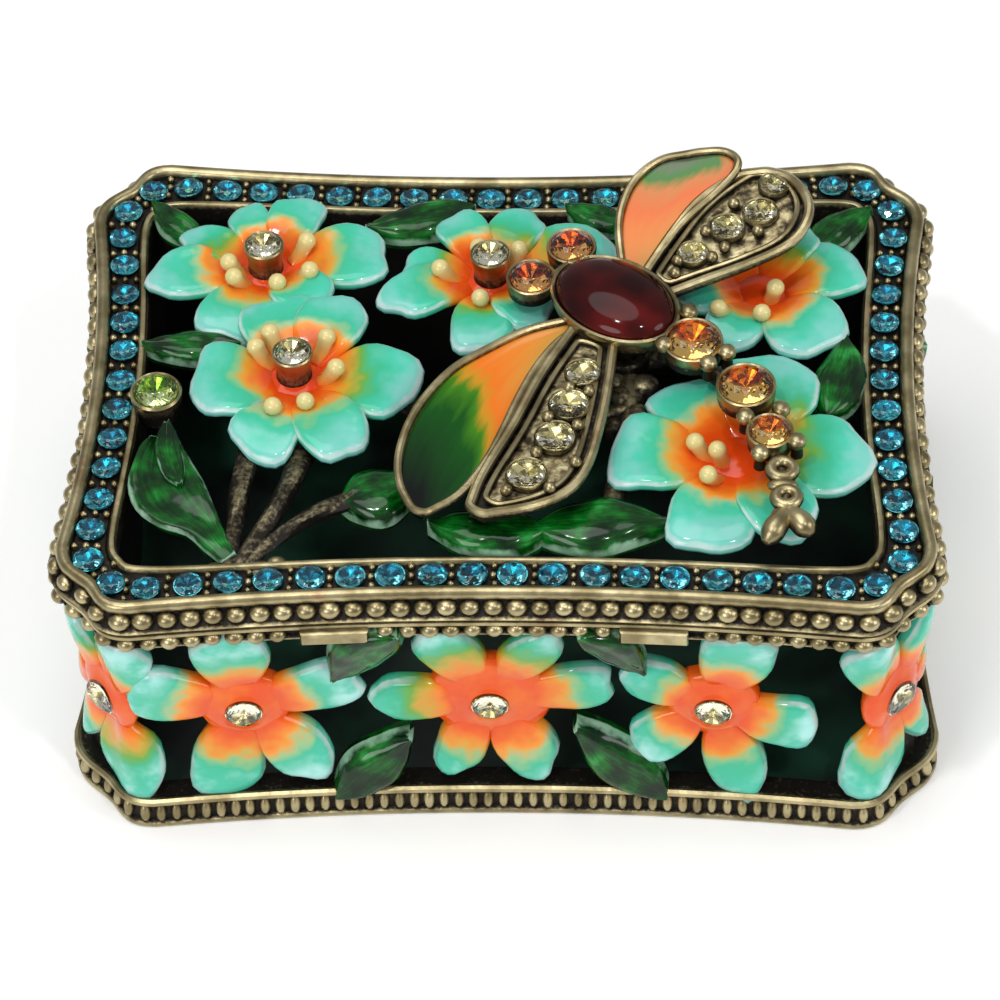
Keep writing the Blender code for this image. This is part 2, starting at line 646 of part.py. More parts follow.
# Each wing is its left and right edge from the body out, and how far its root and tip stand
# over the underside of the body
wings = {
    "near_enamel": (((5.6, 3.2), (2.2, 2.2), (-0.8, 0.4), (-3.8, -1.9), (-6.3, -5.8), (-7.4, -9.7),
                     (-7.3, -13.1), (-6.2, -15.6)),
                    ((6.6, 2.6), (4.6, 1.0), (2.9, -1.6), (1.6, -4.6), (0.5, -7.8), (-0.8, -11.1),
                     (-2.8, -14.3), (-5.2, -16.0)), 0.7, -0.1),
    "near_crystal": (((6.0, 2.8), (3.3, -2.3), (1.3, -7.3), (-1.1, -12.6), (-1.9, -15.5)),
                     ((8.9, 1.6), (8.4, -4.0), (7.7, -8.5), (6.9, -11.8), (5.6, -14.0), (3.1, -15.4),
                      (-0.8, -16.2)), 0.78, 0.0),
    "far_enamel": (((9.6, 7.6), (9.1, 11.8), (9.4, 14.0), (10.4, 16.1), (12.4, 17.6), (14.6, 17.9)),
                   ((11.0, 7.4), (14.0, 11.8), (17.0, 14.5), (18.6, 16.6), (17.6, 17.8), (15.4, 18.0)),
                   0.66, 4.7),
    "far_crystal": (((11.0, 7.4), (13.4, 11.3), (15.5, 14.0), (18.5, 16.0), (20.0, 16.1)),
                    ((12.2, 5.4), (16.0, 6.6), (19.9, 7.8), (22.9, 9.3), (24.1, 11.6), (23.8, 13.6),
                     (22.4, 15.4), (20.8, 16.1)), 0.9, 3.9)}
CABOCHON_POINT = (8.9, 4.6)
EYE_ACROSS = 3.4 * MM
FIRST_TAIL_STONE = 4.2 * MM
SECOND_TAIL_STONE = 4.1 * MM
THIRD_TAIL_STONE = 3.1 * MM
eye_points = {"left": (2.3, 6.9), "right": (5.4, 10.3)}
tail_points = {"first": ((15.0, 0.2), FIRST_TAIL_STONE, 0.0),
               "second": ((19.1, -4.3), SECOND_TAIL_STONE, -0.2),
               "third": ((20.9, -8.8), THIRD_TAIL_STONE, -0.4)}

# Small balls beside the tail's stones, as (stone, degrees, how far out of its cup)
tail_balls = (("first", 96, 0.56 * MM), ("first", 192, -0.1 * MM), ("first", -26, 0.55 * MM),
              ("first", -64, 0.32 * MM), ("third", 68, 0.48 * MM), ("third", 142, 0.52 * MM),
              ("third", -28, 0.47 * MM), ("third", -109, 0.53 * MM))
tail_run = ((9.0, 4.4, 0.6), (15.0, 0.2, 0.6), (19.1, -4.3, 0.5), (20.9, -8.8, 0.3), (21.9, -13.0, 0.0),
            (22.2, -16.2, -0.2))
tail_rings = ((21.8, -12.2, 1.15), (22.1, -15.0, 1.2))
tail_fork = ((22.2, -15.6, -0.2), ((20.5, -19.0, -0.4), (24.0, -18.2, -0.4)))
BALL_RADIUS = 0.75 * MM
BALL_RISE = 0.27 * MM
BALL_PROUD = 0.7 * MM
CUP_STEP = 0.1 * MM
RING_DROP = 0.6 * MM
RING_RISE = 0.3 * MM
RING_HEIGHT = 1.6 * MM
BALL_FOOT = DRAGONFLY_BASE + BALL_RISE
BALL_TOP = CUP_FLOOR + BALL_PROUD
EYE_CUP_FOOT = DRAGONFLY_BASE + CUP_STEP
EYE_CUP_TOP = CUP_FLOOR + CUP_STEP
TAIL_CUP_FOOT = DRAGONFLY_BASE - CUP_STEP
RING_FOOT = DRAGONFLY_BASE - RING_DROP
RING_MIDDLE = DRAGONFLY_BASE + RING_RISE
RING_TOP = RING_FOOT + RING_HEIGHT
TAIL_RADIUS = 0.7 * MM
FORK_RADIUS = 0.6 * MM
POST_RADIUS = 1.5 * MM
CABOCHON_SIDES = 14
BEZEL_WALL = 0.6 * MM
BEZEL_TAPER = 0.9


def over_lid(drawn):
    """Plan point of a drawn one on the dragonfly, which keeps its place on the mount."""
    return MOUNT_POINT + (Vector(drawn[:2]) - DRAWN_MOUNT) * BODY_SQUARE


def on_body(drawn):
    return Vector((*over_lid(drawn), DRAGONFLY_BASE + drawn[2] * BODY_SQUARE))


def spaced(points, count):
    """Evenly spaced points along a line of drawn ones."""
    points = [Vector(point) for point in points]
    lengths = [0.0]
    for start, end in zip(points, points[1:]):
        lengths.append(lengths[-1] + (end - start).length)
    found = []
    for step in range(count + 1):
        target = lengths[-1] * step / count
        index = max(0, min(len(points) - 2, sum(length < target for length in lengths) - 1))
        share = (target - lengths[index]) / (lengths[index + 1] - lengths[index])
        found.append(points[index].lerp(points[index + 1], share))
    return found


def wing_plane(wing):
    """Root and run of a wing's middle line, with its heights over the body's underside, as drawn."""
    left, right, root_rise, tip_rise = wings[wing]
    root = Vector(left[0]).lerp(Vector(right[0]), 0.5)
    tip = Vector(left[-1]).lerp(Vector(right[-1]), 0.5)
    return root, tip - root, root_rise, tip_rise


def on_wing(wing, point, out=0.0):
    root, run, root_rise, tip_rise = wing_plane(wing)
    rise = root_rise + (tip_rise - root_rise) * (point - root).dot(run) / run.length_squared
    place = on_body((point.x, point.y, rise))
    place.z += out
    return place


def add_wing(shape, wing):
    """A flat wing with a raised rim."""
    left, right = (spaced(edge, WING_STEPS) for edge in wings[wing][:2])
    rim = WING_RIM / BODY_SQUARE
    inner_left, inner_right = [], []
    for index, (first, second) in enumerate(zip(left, right)):
        if index in (0, WING_STEPS):
            beside = 1 if index == 0 else WING_STEPS - 1
            middle, next_middle = first.lerp(second, 0.5), left[beside].lerp(right[beside], 0.5)
            inset = (next_middle - middle).normalized() * rim
        else:
            inset = Vector((0, 0))
        share = min(WING_RIM_LIMIT, rim / (second - first).length)
        inner_left.append(first.lerp(second, share) + inset)
        inner_right.append(second.lerp(first, share) + inset)
    outline = left + right[::-1]
    inside = inner_left + inner_right[::-1]
    under = [shape.verts.new(on_wing(wing, point, -WING_THICKNESS)) for point in outline]
    over = [shape.verts.new(on_wing(wing, point)) for point in outline]
    inner = [shape.verts.new(on_wing(wing, point)) for point in inside]
    bed = [shape.verts.new(on_wing(wing, point, -ENAMEL_SINK)) for point in inside]
    for lower, upper in ((under, over), (over, inner), (inner, bed)):
        bridge(shape, lower, upper)
    shape.faces.new(under)
    shape.faces.new(bed)


castings = bmesh.new()
cabochon_radius = CABOCHON_LENGTH / 2
for wing in wings:
    add_wing(castings, wing)
for point in eye_points.values():
    cup = EYE_ACROSS / 2 + CUP_WALL
    add_turned(castings, over_lid(point), ((cup, EYE_CUP_FOOT), (cup, EYE_CUP_TOP)), STONE_SIDES)
for point, across, drop in tail_points.values():
    cup = across / 2 + CUP_WALL
    fall = drop * BODY_SQUARE
    add_turned(castings, over_lid(point), ((cup, TAIL_CUP_FOOT + fall), (cup, CUP_FLOOR + fall)), STONE_SIDES)
for stone, degrees, reach in tail_balls:
    point, across, _ = tail_points[stone]
    turn = math.radians(degrees)
    outward = Vector((math.cos(turn), math.sin(turn))) * (across / 2 + CUP_WALL + reach)
    add_turned(castings, over_lid(point) + outward, (
        (BALL_RADIUS, BALL_FOOT), (BALL_RADIUS, CUP_FLOOR), (BALL_RADIUS / 2, BALL_TOP)), SMALL_STONE_SIDES)
for x, y, reach in tail_rings:
    radius = reach * BODY_SQUARE
    add_turned(castings, over_lid((x, y)), (
        (radius / 2, RING_FOOT), (radius, RING_MIDDLE), (radius / 2, RING_TOP)), STONE_SIDES)
add_stem(castings, [on_body(point) for point in tail_run], TAIL_RADIUS)
fork_root, fork_tips = tail_fork
for tip in fork_tips:
    add_stem(castings, [on_body(fork_root), on_body(tip)], FORK_RADIUS)
post_foot = MOUNT_TOP + FIT_GAP
add_turned(castings, MOUNT_POINT, ((POST_RADIUS, post_foot), (POST_RADIUS, RING_MIDDLE)), STONE_SIDES)

thorax = bmesh.new()
plate_radius = cabochon_radius + BEZEL_WALL
add_turned(thorax, over_lid(CABOCHON_POINT), (
    (plate_radius * BEZEL_TAPER, DRAGONFLY_BASE), (plate_radius, CUP_FLOOR)),
    CABOCHON_SIDES, CABOCHON_SQUASH, BODY_TURN)
dragonfly = add_piece("dragonfly", finish_mesh("dragonfly", thorax), cast_brass)
part_mesh = finish_mesh("dragonfly_parts", castings)
dragonfly_parts = add_piece("dragonfly_parts", part_mesh, cast_brass, joined=True)
join_shapes(dragonfly, dragonfly_parts)


# Stones that are set as pieces of their own

STONE_FOOT = 0.92
STONE_TABLE = 0.6
GIRDLE_SHARE = 0.35
EYE_HEIGHT = 1.6 * MM
TAIL_STONE_HEIGHT = 1.2 * MM
PERIDOT_HEIGHT = 1.4 * MM


def add_stone(name, place, across, height, material, sides=STONE_SIDES):
    """A cut stone with a flat table; place turns (right, up, out) into a point."""
    shape = bmesh.new()
    rings = []
    radius = across / 2
    profile = ((radius * STONE_FOOT, 0.0), (radius, height * GIRDLE_SHARE), (radius * STONE_TABLE, height))
    for reach, out in profile:
        turns = [2 * math.pi * index / sides for index in range(sides)]
        rings.append([shape.verts.new(place(reach * math.cos(turn), reach * math.sin(turn), out))
                      for turn in turns])
    for lower, upper in zip(rings, rings[1:]):
        bridge(shape, lower, upper)
    shape.faces.new(rings[0])
    shape.faces.new(rings[-1])
    return add_piece(name, finish_mesh(name, shape), material)


def spot(point, height):
    return lambda right, up, out: Vector((point[0] + right, point[1] + up, height + out))


# The dome of the cabochon, as shares of its radius and height
DOME_SHARES = ((1.0, 0.0), (0.93, 0.5), (0.6, 0.88), (0.2, 1.0))
STONE_SEAT = CUP_FLOOR + FIT_GAP
dome = [(cabochon_radius * reach, STONE_SEAT + CABOCHON_HEIGHT * rise) for reach, rise in DOME_SHARES]
cabochon = bmesh.new()
add_turned(cabochon, over_lid(CABOCHON_POINT), dome, CABOCHON_SIDES, CABOCHON_SQUASH, BODY_TURN)
add_piece("dragonfly_cabochon", finish_mesh("dragonfly_cabochon", cabochon), garnet_enamel)
for name, point in eye_points.items():
    place = spot(over_lid(point), STONE_SEAT)
    add_stone("dragonfly_eye_" + name, place, EYE_ACROSS, EYE_HEIGHT, brown_crystal)
for name, (point, across, drop) in tail_points.items():
    place = spot(over_lid(point), STONE_SEAT + drop * BODY_SQUARE)
    add_stone("tail_stone_" + name, place, across, TAIL_STONE_HEIGHT, amber_crystal)
for name in ("back_left", "front_left", "back_middle"):
    centre, lift, collar, _ = lid_flowers[name]
    place = spot(panel_point(centre), collar + lift + FIT_GAP)
    add_stone("lid_stone_" + name, place, FLOWER_STONE_ACROSS, FLOWER_STONE_HEIGHT, clear_crystal)
place = spot(PERIDOT_POINT, PERIDOT_SEAT + FIT_GAP)
add_stone("peridot_stone", place, PERIDOT_ACROSS, PERIDOT_HEIGHT, green_crystal)
for count, (station, _) in enumerate(wall_flowers):
    middle, level = stretched(station), risen(FLOWER_LEVEL)
    seat = FLOWER_COLLAR + FIT_GAP
    add_stone(f"wall_stone_{count + 1:02d}",
              lambda right, up, out: on_wall(middle + right, level + up, out + seat),
              FLOWER_STONE_ACROSS, FLOWER_STONE_HEIGHT, clear_crystal, SMALL_STONE_SIDES)

# Crystals in the two open wings, from the body out, as drawn places and widths
CRYSTAL_SMALL = 2.2 * MM
CRYSTAL_MIDDLE = 2.5 * MM
CRYSTAL_LARGE = 2.9 * MM
crystal_rows = {
    "near_crystal": ((6.5, -2.5, CRYSTAL_MIDDLE), (5.5, -5.6, CRYSTAL_LARGE), (4.5, -8.9, CRYSTAL_LARGE),
                     (2.4, -12.5, CRYSTAL_LARGE)),
    "far_crystal": ((15.0, 9.0, CRYSTAL_SMALL), (17.7, 11.1, CRYSTAL_MIDDLE), (20.3, 12.2, CRYSTAL_MIDDLE),
                    (21.4, 14.65, CRYSTAL_SMALL))}
for wing, row in crystal_rows.items():
    for count, (x, y, across) in enumerate(row):
        point = Vector((x, y))

        def tilted(right, up, out, wing=wing, point=point):
            beside = point + Vector((right, up)) / BODY_SQUARE
            return on_wing(wing, beside, out + FIT_GAP - ENAMEL_SINK)

        add_stone(f"{wing}_stone_{count + 1}", tilted, across, FLOWER_STONE_HEIGHT, clear_crystal,
                  SMALL_STONE_SIDES)
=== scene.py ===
import math
import random

import bmesh
import bpy
from mathutils import Matrix, Vector
from mathutils.geometry import interpolate_bezier


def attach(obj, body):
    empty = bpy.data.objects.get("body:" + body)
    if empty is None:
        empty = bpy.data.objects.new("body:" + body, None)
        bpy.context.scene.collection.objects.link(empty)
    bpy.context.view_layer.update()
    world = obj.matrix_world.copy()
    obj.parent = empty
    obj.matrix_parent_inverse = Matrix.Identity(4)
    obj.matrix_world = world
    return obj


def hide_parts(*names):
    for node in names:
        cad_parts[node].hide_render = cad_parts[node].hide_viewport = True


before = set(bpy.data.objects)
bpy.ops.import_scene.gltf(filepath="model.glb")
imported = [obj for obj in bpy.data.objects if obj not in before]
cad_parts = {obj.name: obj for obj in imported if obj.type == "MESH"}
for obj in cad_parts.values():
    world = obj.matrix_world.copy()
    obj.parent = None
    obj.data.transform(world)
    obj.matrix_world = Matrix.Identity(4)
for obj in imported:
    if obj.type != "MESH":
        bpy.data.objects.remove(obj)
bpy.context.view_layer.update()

# The view. The box is seen from the front and above through a long lens, and it stands
# on a pale table in soft light. All sizes below are in millimetres until a mesh is made.
MM = 0.001
VIEW_DISTANCE = 373.0
VIEW_PITCH = math.radians(49.47)
VIEW_YAW = math.radians(-3.96)
VIEW_ROLL = math.radians(-3.0)
VIEW_SHIFT = (-0.54, -0.97)
VIEW_HEIGHT = 13.0
LENS = 166.9
SENSOR = 36.0


def srgb(code):
    """Linear colour from an sRGB hex value such as 4FC9AE."""
    channels = [int(code[place:place + 2], 16) / 255 for place in (0, 2, 4)]
    linear = [c / 12.92 if c <= 0.04045 else ((c + 0.055) / 1.055) ** 2.4 for c in channels]
    return (*linear, 1.0)


ahead = Vector((math.sin(VIEW_YAW) * math.cos(VIEW_PITCH), math.cos(VIEW_YAW) * math.cos(VIEW_PITCH),
                -math.sin(VIEW_PITCH)))
level = Vector((math.cos(VIEW_YAW), -math.sin(VIEW_YAW), 0.0))
above = level.cross(ahead)
right = level * math.cos(VIEW_ROLL) + above * math.sin(VIEW_ROLL)
upward = above * math.cos(VIEW_ROLL) - level * math.sin(VIEW_ROLL)
aim = Vector((0, 0, VIEW_HEIGHT)) + right * VIEW_SHIFT[0] + upward * VIEW_SHIFT[1]
camera_data = bpy.data.cameras.new("view")
camera_data.lens = LENS
camera_data.sensor_width = SENSOR
camera_data.clip_start = 0.01
camera = bpy.data.objects.new("view", camera_data)
turn_to_view = Matrix((right, upward, -ahead)).transposed().to_4x4()
camera.matrix_world = Matrix.Translation((aim - ahead * VIEW_DISTANCE) * MM) @ turn_to_view
bpy.context.scene.collection.objects.link(camera)
bpy.context.scene.camera = camera


LIT_POINT = Vector((0, 0, 10))


def add_light(name, place, size, power):
    """A round white lamp that faces the box."""
    lamp_data = bpy.data.lights.new(name, "AREA")
    lamp_data.shape = "DISK"
    lamp_data.size = size * MM
    lamp_data.energy = power
    lamp = bpy.data.objects.new(name, lamp_data)
    lamp.location = Vector(place) * MM
    lamp.rotation_euler = (LIT_POINT - Vector(place)).to_track_quat("-Z", "Y").to_euler()
    bpy.context.scene.collection.objects.link(lamp)


add_light("overhead_softbox", (-60, 60, 420), 320, 0.6)
add_light("front_softbox", (-220, -330, 240), 220, 0.6)
add_light("right_softbox", (330, -120, 200), 180, 0.35)
add_light("left_small_lamp", (-90, -120, 420), 24, 0.28)
add_light("right_small_lamp", (120, -170, 390), 20, 0.22)

# Plain display of colour, so that a surface shows the colour that is given here
bpy.context.scene.view_settings.view_transform = "Standard"


def set_sockets(node, values):
    """Sets input sockets by name; a text is a hex colour."""
    for key, value in values.items():
        node.inputs[key].default_value = srgb(value) if isinstance(value, str) else value


def new_material(name, values):
    """A material whose shader's sockets hold the values, with its node tree and its shader."""
    material = bpy.data.materials.new(name)
    material.use_nodes = True
    shader = material.node_tree.nodes["Principled BSDF"]
    set_sockets(shader, values)
    return material, material.node_tree, shader


world = bpy.data.worlds.new("studio")
world.use_nodes = True
set_sockets(world.node_tree.nodes["Background"], {"Color": "F4F6F8", "Strength": 0.42})
bpy.context.scene.world = world

TABLE_SIZE = 1600.0
TABLE_DROP = 0.05
bpy.ops.mesh.primitive_plane_add(size=TABLE_SIZE * MM, location=(0, 0, -TABLE_DROP * MM))
table = bpy.context.object
table.name = "table"
table_paint, _, _ = new_material("pale_table", {
    "Base Color": "FBFBFA", "Roughness": 0.7, "Emission Color": "FFFFFF", "Emission Strength": 0.1})
table.data.materials.append(table_paint)


# The plan that foot, walls and lid share: sides that curve inwards and two-lobed corners.
# Every rail, bead row and flower is placed by its distance along this line and outwards from it.
HALF_LENGTH = 33.0
HALF_DEPTH = 23.0
END_SAG = 1.3
FRONT_SAG = 1.55
END_LOBE = 6.0
FRONT_LOBE = 5.4
NOTCH_DEPTH = 2.35
LOBE_HANDLE = 2.4
NOTCH_HANDLE = 1.25
SAG_STEPS = 12
CORNER_STEPS = 9


def sag_points(end, half_span, sag):
    """Points of a shallow arc from the middle of a side towards its end, as (along, out)."""
    points = []
    for step in range(SAG_STEPS):
        share = step / SAG_STEPS
        points.append((half_span * share, end - sag * (1 - share * share)))
    return points


def quarter_plan():
    """A quarter of the outline, from the middle of the right end to the middle of the back."""
    end_span = HALF_DEPTH - END_LOBE
    back_span = HALF_LENGTH - FRONT_LOBE
    points = [(Vector((out, along)), 0.0) for along, out in sag_points(HALF_LENGTH, end_span, END_SAG)]
    notch = Vector((HALF_LENGTH - NOTCH_DEPTH, HALF_DEPTH - NOTCH_DEPTH))
    slant = Vector((-1, 1)).normalized() * NOTCH_HANDLE
    end_start = Vector((HALF_LENGTH, end_span))
    back_start = Vector((back_span, HALF_DEPTH))
    corner = interpolate_bezier(
        end_start, end_start + Vector((0, LOBE_HANDLE)), notch - slant, notch, CORNER_STEPS + 1)
    corner += interpolate_bezier(
        notch, notch + slant, back_start + Vector((LOBE_HANDLE, 0)), back_start, CORNER_STEPS + 1)[1:]
    last = len(corner) - 1
    points += [(Vector(point), math.pi / 2 * place / last) for place, point in enumerate(corner)]
    back = sag_points(HALF_DEPTH, back_span, FRONT_SAG)
    return points + [(Vector((along, out)), math.pi / 2) for along, out in back][::-1]


def whole_plan():
    """The closed outline, anticlockwise from the middle of the front, with outward directions."""
    quarter = quarter_plan()
    loop = []
    for mirror_x, mirror_y, backwards in ((1, -1, True), (1, 1, False), (-1, 1, True), (-1, -1, False)):
        part = quarter[::-1] if backwards else quarter
        for point, angle in part[:-1]:
            direction = Vector((mirror_x * math.cos(angle), mirror_y * math.sin(angle)))
            loop.append((Vector((mirror_x * point.x, mirror_y * point.y)), direction))
    return loop


plan = whole_plan()
plan_distances = [0.0]
for (start, _), (end, _) in zip(plan, plan[1:] + plan[:1]):
    plan_distances.append(plan_distances[-1] + (end - start).length)
PERIMETER = plan_distances[-1]
SIDE_STATION = PERIMETER / 4
CORNER_STATION = plan_distances[SAG_STEPS + CORNER_STEPS]


def plan_at(along):
    """Point and outward direction at a distance along the outline from the middle of the front."""
    along %= PERIMETER
    low, high = 0, len(plan)
    while high - low > 1:
        middle = (low + high) // 2
        if plan_distances[middle] <= along:
            low = middle
        else:
            high = middle
    share = (along - plan_distances[low]) / (plan_distances[low + 1] - plan_distances[low])
    first, second = plan[low], plan[(low + 1) % len(plan)]
    return first[0].lerp(second[0], share), first[1].lerp(second[1], share).normalized()


def on_rail(along, height, out):
    point, direction = plan_at(along)
    return Vector((*(point + direction * out), height))


# Antique brass. The box is cast in white metal, plated with brass, blackened, and rubbed
# back by hand, so the high places are pale olive gold and the hollows stay black brown.
# Each casting point carries "wear", from 0 in a hollow to 1 on a ridge.
BRASS = "BEB189"
BRASS_SHADE = "857856"
COPPER = "B58468"
PATINA = "1D1813"
PATINA_LIGHT = "4A4034"
GRAIN_MM = 0.35
BLOTCH_MM = 2.5
COPPER_PATCH_MM = 6.0
CASTING_LUMP_MM = 0.6


def add_node(tree, kind, settings=None, links=None):
    """Adds a node, sets its properties or socket values by name or place, and links its inputs."""
    node = tree.nodes.new(kind)
    for key, value in (settings or {}).items():
        if isinstance(key, str) and hasattr(node, key):
            setattr(node, key, value)
        else:
            node.inputs[key].default_value = value
    for key, source in (links or {}).items():
        tree.links.new(source, node.inputs[key])
    return node


def grain(tree, size_mm, detail=3.0, seed=0.0):
    """Noise in object space whose lumps are about size_mm across."""
    place = tree.nodes.get("place") or add_node(tree, "ShaderNodeTexCoord", {"name": "place"})
    shifted = add_node(tree, "ShaderNodeMapping", {"Location": (seed, seed, seed)},
                       {"Vector": place.outputs["Object"]})
    return add_node(tree, "ShaderNodeTexNoise", {"Scale": 1 / (size_mm * MM), "Detail": detail},
                    {"Vector": shifted.outputs["Vector"]}).outputs["Fac"]


def value_of(tree, layer):
    """A value that the mesh carries at its points."""
    return add_node(tree, "ShaderNodeAttribute", {"attribute_name": layer}).outputs["Fac"]


def ramp(tree, source, stops):
    """Colours between stops of (place, hex colour)."""
    node = add_node(tree, "ShaderNodeValToRGB", links={"Fac": source})
    elements = node.color_ramp.elements
    while len(elements) < len(stops):
        elements.new(0.5)
    for element, (place, code) in zip(elements, stops):
        element.position = place
        element.color = srgb(code)
    return node.outputs["Color"]


def math_node(tree, operation, *terms):
    """One sum; each term is a number or a socket."""
    numbers = {place: term for place, term in enumerate(terms) if isinstance(term, (int, float))}
    sockets = {place: term for place, term in enumerate(terms) if not isinstance(term, (int, float))}
    return add_node(tree, "ShaderNodeMath", {"operation": operation, **numbers}, sockets).outputs["Value"]


def stir(tree, value, noise, amount):
    """A value moved up and down by noise."""
    swing = math_node(tree, "MULTIPLY", math_node(tree, "SUBTRACT", noise, 0.5), amount)
    return math_node(tree, "ADD", value, swing)


def product(tree, first, second):
    return math_node(tree, "MULTIPLY", first, second)


def blend_colours(tree, share, first, second):
    """Mix of two colours; the share is a socket, and each colour a hex value or a socket."""
    node = add_node(tree, "ShaderNodeMix", {"data_type": "RGBA"}, {0: share})
    for place, term in ((6, first), (7, second)):
        if isinstance(term, str):
            node.inputs[place].default_value = srgb(term)
        else:
            tree.links.new(term, node.inputs[place])
    return node.outputs[2]


def step(tree, source, low, high):
    """0 below low, 1 above high, and smooth between."""
    node = add_node(tree, "ShaderNodeMapRange", {"interpolation_type": "SMOOTHSTEP", 1: low, 2: high}, {0: source})
    return node.outputs["Result"]


def add_bump(tree, shader, height, strength, distance_mm):
    bump = add_node(tree, "ShaderNodeBump", {"Strength": strength, "Distance": distance_mm * MM}, {"Height": height})
    tree.links.new(bump.outputs["Normal"], shader.inputs["Normal"])


antique_brass, tree, shader = new_material("antique_brass", {})
fine = grain(tree, GRAIN_MM)
blotch = grain(tree, BLOTCH_MM, seed=3.1)
rubbed = stir(tree, stir(tree, value_of(tree, "wear"), fine, 0.55), blotch, 0.35)
bright = step(tree, rubbed, 0.22, 0.62)
metal = blend_colours(tree, step(tree, blotch, 0.3, 0.7), BRASS_SHADE, BRASS)
coppery = product(tree, step(tree, grain(tree, COPPER_PATCH_MM, seed=8.7), 0.6, 0.75), 0.4)
metal = blend_colours(tree, coppery, metal, COPPER)
dark = blend_colours(tree, step(tree, fine, 0.55, 0.8), PATINA, PATINA_LIGHT)
tree.links.new(blend_colours(tree, bright, dark, metal), shader.inputs["Base Color"])
tree.links.new(math_node(tree, "MULTIPLY_ADD", bright, 0.35, 0.65), shader.inputs["Metallic"])
tree.links.new(math_node(tree, "MULTIPLY_ADD", bright, -0.16, 0.5), shader.inputs["Roughness"])
add_bump(tree, shader, grain(tree, CASTING_LUMP_MM, seed=5.0), 0.35, 0.08)

# Painted shade: the backs of petals and leaves, inside the box, the undersides of the wing beds and the inner faces
# of the ground are painted near black for the shade that falls there
painted_shade_backs, _, _ = new_material("painted_shade_backs", {
    "Base Color": "14110E", "Metallic": 0.3, "Roughness": 0.55})


def new_shape(*layers):
    """An empty mesh under construction whose points carry the named values."""
    shape = bmesh.new()
    for layer in layers:
        shape.verts.layers.float.new(layer)
    return shape


def add_point(shape, place, **values):
    point = shape.verts.new(place)
    for layer, value in values.items():
        point[shape.verts.layers.float[layer]] = value
    return point


def bridge(shape, lower, upper):
    """Faces between two rings of points, given back in their order."""
    faces = []
    for index in range(len(lower)):
        after = (index + 1) % len(lower)
        faces.append(shape.faces.new((lower[index], lower[after], upper[after], upper[index])))
    return faces


def skin(shape, rings, closed=False):
    """Faces over a run of rings, given back ring by ring. Both ends are capped, or the run is closed."""
    bands = [bridge(shape, lower, upper) for lower, upper in zip(rings, rings[1:] + (rings[:1] if closed else []))]
    if not closed:
        shape.faces.new(rings[0])
        bands.append([shape.faces.new(rings[-1])])
    return bands


def circle(count, offset=0.0):
    """Angles evenly spaced round a circle."""
    return [2 * math.pi * (index + offset) / count for index in range(count)]


def held(value):
    """The value, held between 0 and 1."""
    return min(1.0, max(0.0, value))


def finish_piece(name, shape, materials, replaces=(), flat=False, sharp=35):
    """Turns the millimetre mesh into a piece of the object."""
    bmesh.ops.recalc_face_normals(shape, faces=shape.faces)
    bmesh.ops.scale(shape, vec=(MM, MM, MM), verts=shape.verts)
    mesh = bpy.data.meshes.new(name)
    shape.to_mesh(mesh)
    shape.free()
    if not flat:
        mesh.shade_smooth()
        mesh.set_sharp_from_angle(angle=math.radians(sharp))
    for material in materials:
        mesh.materials.append(material)
    piece = bpy.data.objects.new(name, mesh)
    bpy.context.scene.collection.objects.link(piece)
    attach(piece, "root")
    if replaces:
        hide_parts(*replaces)


def finish_enamel(name, shape, enamel):
    """An enamelled piece, with painted shade on the back."""
    finish_piece(name, shape, [enamel, painted_shade_backs], sharp=60)


TIGHT_OUT = -2.5
SOFTENING_PASSES = 24


def plan_line(out):
    """The plan moved outwards; far inside it the folds at the corners are smoothed away."""
    line = [point + direction * out for point, direction in plan]
    if out < TIGHT_OUT:
        for _ in range(SOFTENING_PASSES):
            line = [(before + after) / 4 + point / 2 for before, point, after
                    in zip(line[-1:] + line[:-1], line, line[1:] + line[:1])]
    return line


def add_rail(shape, section):
    """A closed band along the plan; its section is a list of (out, height, wear)."""
    rings = []
    for out, height, wear in section:
        rings.append([add_point(shape, (*point, height), wear=wear) for point in plan_line(out)])
    skin(shape, rings, closed=True)


UP = Vector((0, 0, 1))
BEAD_TURNS = (14, 38, 62, 86, 112)


def add_bead(shape, centre, outward, radii, sides=10, shine=1.0):
    """A cast bead: a ball stretched to radii (along, up, out) that faces outwards, dark round its root."""
    along = UP.cross(outward).normalized() if abs(outward.z) < 0.95 else Vector((1, 0, 0))
    up = outward.cross(along)
    rings = []
    for angle in BEAD_TURNS:
        reach, rise = math.sin(math.radians(angle)), math.cos(math.radians(angle))
        ring = []
        for turn in circle(sides):
            place = (centre + along * radii[0] * reach * math.cos(turn) + up * radii[1] * reach * math.sin(turn)
                     + outward * radii[2] * rise)
            ring.append(add_point(shape, place, wear=shine * held(0.35 + 0.9 * rise)))
        rings.append(ring)
    skin(shape, rings)


def add_bead_row(shape, pitch, out, height, radii, jitter, chance, gaps=()):
    """Beads side by side along the plan, each a little out of line as hand finished castings are."""
    count = round(PERIMETER / pitch)
    for index in range(count):
        along = PERIMETER * index / count
        from_front = (along + PERIMETER / 2) % PERIMETER - PERIMETER / 2
        if any(low < from_front < high for low, high in gaps):
            continue
        _, direction = plan_at(along)
        swell = 1 + chance.uniform(-jitter, jitter)
        place = on_rail(along + chance.uniform(-jitter, jitter) * 0.5, height + chance.uniform(-jitter, jitter) * 0.6,
                        out)
        add_bead(shape, place, Vector((*direction, 0.15)).normalized(), [radius * swell for radius in radii])


